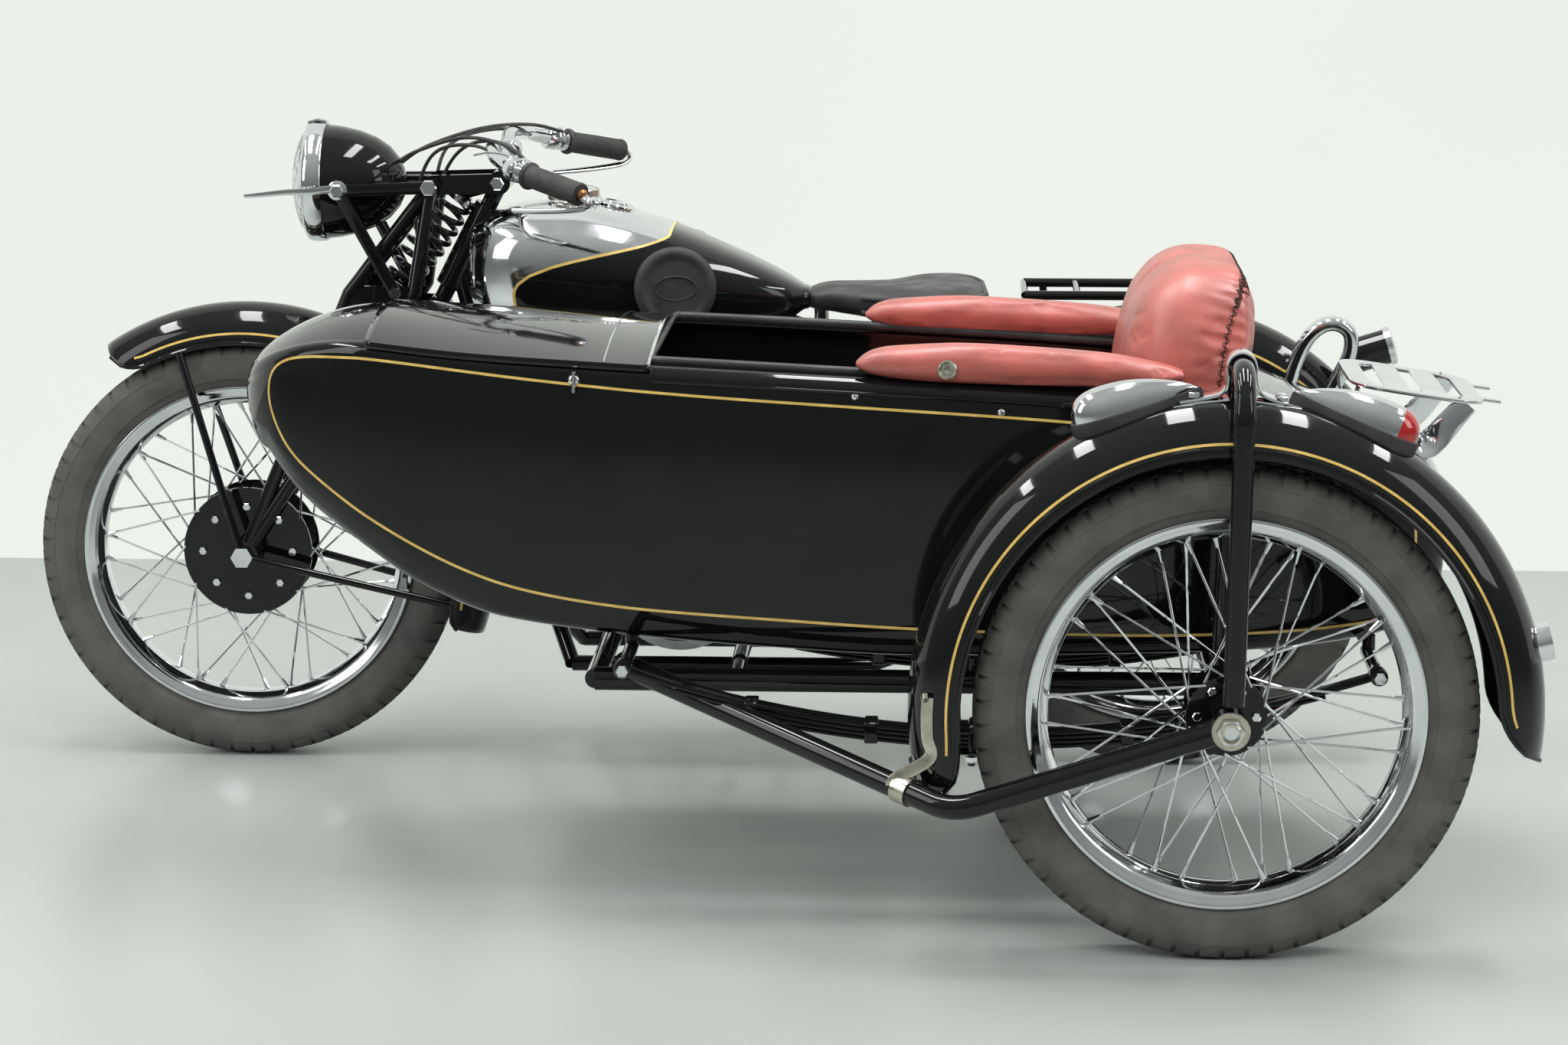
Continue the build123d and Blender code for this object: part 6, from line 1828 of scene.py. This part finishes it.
class EngineOperator(bpy.types.Operator):
    """Engine trim: screws and bosses, push-rod tubes, plug and lead, pipes, carburettor and silencer ends."""

    bl_idname = "outfit.engine"
    bl_label = "Engine trim"

    def execute(self, context):
        self.timing()
        self.top_end()
        self.carburettor()
        self.exhaust()
        pipes = [tube(flowing(places(row), 10), 4.2, 10) for row in OIL_PIPES]
        pipes.append(tube(flowing(places(FUEL_PIPE), 10), 3.6, 10))
        piece("engine_pipes", pipes, "brass", "chassis")
        pedal = [(0, 0), (0, 13), (3, 16), (40, 16), (43, 13), (43, 0)]
        rubber = turned(pedal, at(425, -133, 457), (0, -1, 0.1), 60, flutes=10, depth=0.04)
        piece("kick_rubber", [rubber], "rubber", "chassis")
        return {"FINISHED"}

    def timing(self):
        """Screws round the timing cover, its bosses, the magneto's cap and the gearbox's screws."""
        rear, front = np.array(TIMING)
        lean = np.arctan2(*(front - rear)[::-1])
        turn = lean + np.radians([90, 128, 162, 198, 232, 270])
        spots = [rear + TIMING_SCREW_R * np.array([cos(t), sin(t)]) for t in turn]
        spots += [front + TIMING_SCREW_R * np.array([cos(t + pi), sin(t + pi)]) for t in turn]
        screws = [dome(at(x, TIMING_FACE + 0.5, z), (0, -1, 0), 5.5, 4) for x, z in spots]
        for x, z in ((486, 236), (590, 236), (486, 364), (590, 364), (538, 232), (482, 300)):
            screws.append(hexagon(at(x, -65.5, z), (0, -1, 0), 6.5, 5))
        piece("engine_screws", screws, "steel", "chassis")
        boss = [(0, 0), (0, 30), (3, 30), (7, 26), (8, 22), (9, 0)]
        small = [(0, 0), (0, 21), (6, 21), (8, 18), (8, 8), (12, 8), (13, 6), (13, 0)]
        bosses = [turned(boss, at(rear[0], TIMING_FACE + 0.5, rear[1]), (0, -1, 0), 48)]
        bosses.append(turned(small, at(front[0], TIMING_FACE + 0.5, front[1]), (0, -1, 0), 40))
        cover = [(0, 0), (0, 34), (3, 34), (6, 30), (7, 0)]
        bosses.append(turned(cover, at(538, -65.5, 300), (0, -1, 0), 48))
        piece("engine_bosses", bosses, "aluminium", "chassis")
        cap = [(0, 0), (0, 38), (4, 39), (12, 37), (18, 30), (20, 18), (21, 0)]
        piece("magneto_cap", [turned(cap, at(622, -59.5, 392), (0, -1, 0), 48)], "rubber", "chassis")

    def top_end(self):
        """Push-rod tubes with their collars, the rocker box over them, and the sparking plug with its lead."""
        bright, cast = [], []
        for x in (764, 794):
            rod = np.array([at(x, -84, 372), at(x, -84, 634)])
            bright.append(tube(rod, 8.5, 20))
            for z, up in ((404, 1), (628, -1)):
                bright.append(
                    turned([(0, 0), (0, 12), (9, 12), (11, 10), (11, 0)], at(x, -84, z), (0, 0, up), 24)
                )
        box = at(np.linspace(742, 816, 9), -76, 645)
        cast.append(band(box, (0, 0, 1), 46, 30, 28, 5.0))
        chest = at(779, -84, np.linspace(350, 406, 7))
        cast.append(band(chest, (0, -1, 0), 74, 34, 28, 5.0))
        piece("push_rods", bright, "chrome", "chassis")
        piece("rocker_box", cast, "aluminium", "chassis", sharp=50)
        out = np.array([-0.28, -1.0, 0.16])
        seat = at(702, -64, 630)
        plug = [(0, 0), (0, 8), (8, 8), (8, 11), (18, 11), (20, 8), (36, 6), (38, 0)]
        piece("spark_plug", [turned(plug, seat, out, 24)], "nickel", "chassis")
        tip = seat + unit(out) * 0.036
        hood = turned([(0, 0), (0, 8), (3, 10), (18, 10), (22, 7), (23, 0)], tip, out, 24)
        lead = tube(flowing(places(PLUG_LEAD), 10), 3.4, 10)
        piece("plug_lead", [hood, lead], "rubber", "chassis")

    def carburettor(self):
        """Flared intake, milled top with its cable nut, float bowl beside the body."""
        intake = [(0, 0), (0, 20.5), (6, 22), (13, 29), (16, 30), (17, 28), (12, 21), (4, 15), (2, 0)]
        bowl = [(0, 0), (0, 6), (8, 7), (9, 22), (12, 24), (48, 24), (51, 21), (53, 9), (60, 8), (61, 0)]
        cast = [turned(intake, at(596, 0, 600), (-1, 0, 0), 40), turned(bowl, at(632, -46, 552), (0, 0, 1), 40)]
        cast.append(tube(np.array([at(632, -30, 566), at(632, -10, 566)]), 8, 16))
        piece("carburettor_cast", cast, "aluminium", "chassis")
        top = turned(
            [(0, 0), (0, 25), (10, 25), (12, 22), (13, 0)], at(632, 0, 638), (0, 0, 1), 120, flutes=30,
            depth=0.02,
        )
        nut = turned([(0, 0), (0, 8), (8, 7), (9, 0)], at(632, 0, 650), (0, 0, 1), 24)
        piece("carburettor_top", [top, nut], "brass", "chassis")

    def exhaust(self):
        """Finned clamp at the port, cones at both ends of the silencer, its bands and the rolled pipe end."""
        port, run = at(812, -32.3, 616.9), np.array([94.0, -36.0, -18.0])
        fins = [(0, 20)]
        for n in range(4):
            fins += [(6 * n, 31), (6 * n + 3, 31), (6 * n + 3.2, 23), (6 * n + 5.8, 23)]
        fins += [(24, 20)]
        piece("exhaust_clamp", [turned(fins, port, run, 48)], "aluminium", "chassis", sharp=30)
        front, rear = at(640, -142, 245), at(60, -152, 258)
        cone = [(-2, 40.2), (0, 41), (4, 41), (7, 39), (30, 30), (58, 20), (60, 18.5)]
        ring = [(-9, 40), (-9, 42.5), (9, 42.5), (9, 40)]
        along = rear - front
        parts = [turned(cone, front, front - rear, 56), turned(cone, rear, rear - front, 56)]
        parts += [turned(ring, front + along * t, along, 56, ring=True) for t in (0.16, 0.84)]
        end = [(-8, 19.2), (-8, 21), (0, 21.5), (2, 20), (1, 16.5), (-2, 16.5)]
        parts.append(turned(end, at(-230, -158, 264), (-300, -6, 6), 40, ring=True))
        piece("exhaust_ends", parts, "chrome", "chassis")


# Panel, registration and order of the steps
STEPS = [
    FinishesOperator, StageOperator, TyresOperator, WheelsOperator, SidecarBodyOperator, MudguardsOperator,
    TankOperator, UpholsteryOperator, LampsOperator, RackOperator, ControlsOperator, ForkSpringOperator,
    TrimOperator, LeafSpringsOperator, EngineOperator,
]


class OutfitPanel(bpy.types.Panel):
    """Lists the outfit's steps and looks in the 3D view's sidebar."""

    bl_idname = "VIEW3D_PT_outfit"
    bl_label = "Outfit"
    bl_space_type = "VIEW_3D"
    bl_region_type = "UI"
    bl_category = "Outfit"

    def draw(self, context):
        for name in OutfitLooks.__annotations__:
            self.layout.prop(context.scene.outfit_looks, name)
        for step in STEPS:
            self.layout.operator(step.bl_idname)


CLASSES = [OutfitLooks, *STEPS, OutfitPanel]


def register():
    for item in CLASSES:
        bpy.utils.register_class(item)
    bpy.types.Scene.outfit_looks = PointerProperty(type=OutfitLooks)


def unregister():
    del bpy.types.Scene.outfit_looks
    for item in reversed(CLASSES):
        bpy.utils.unregister_class(item)


def main():
    register()
    for step in STEPS:
        getattr(bpy.ops.outfit, step.bl_idname.removeprefix("outfit."))()


if __name__ == "__main__":
    main()
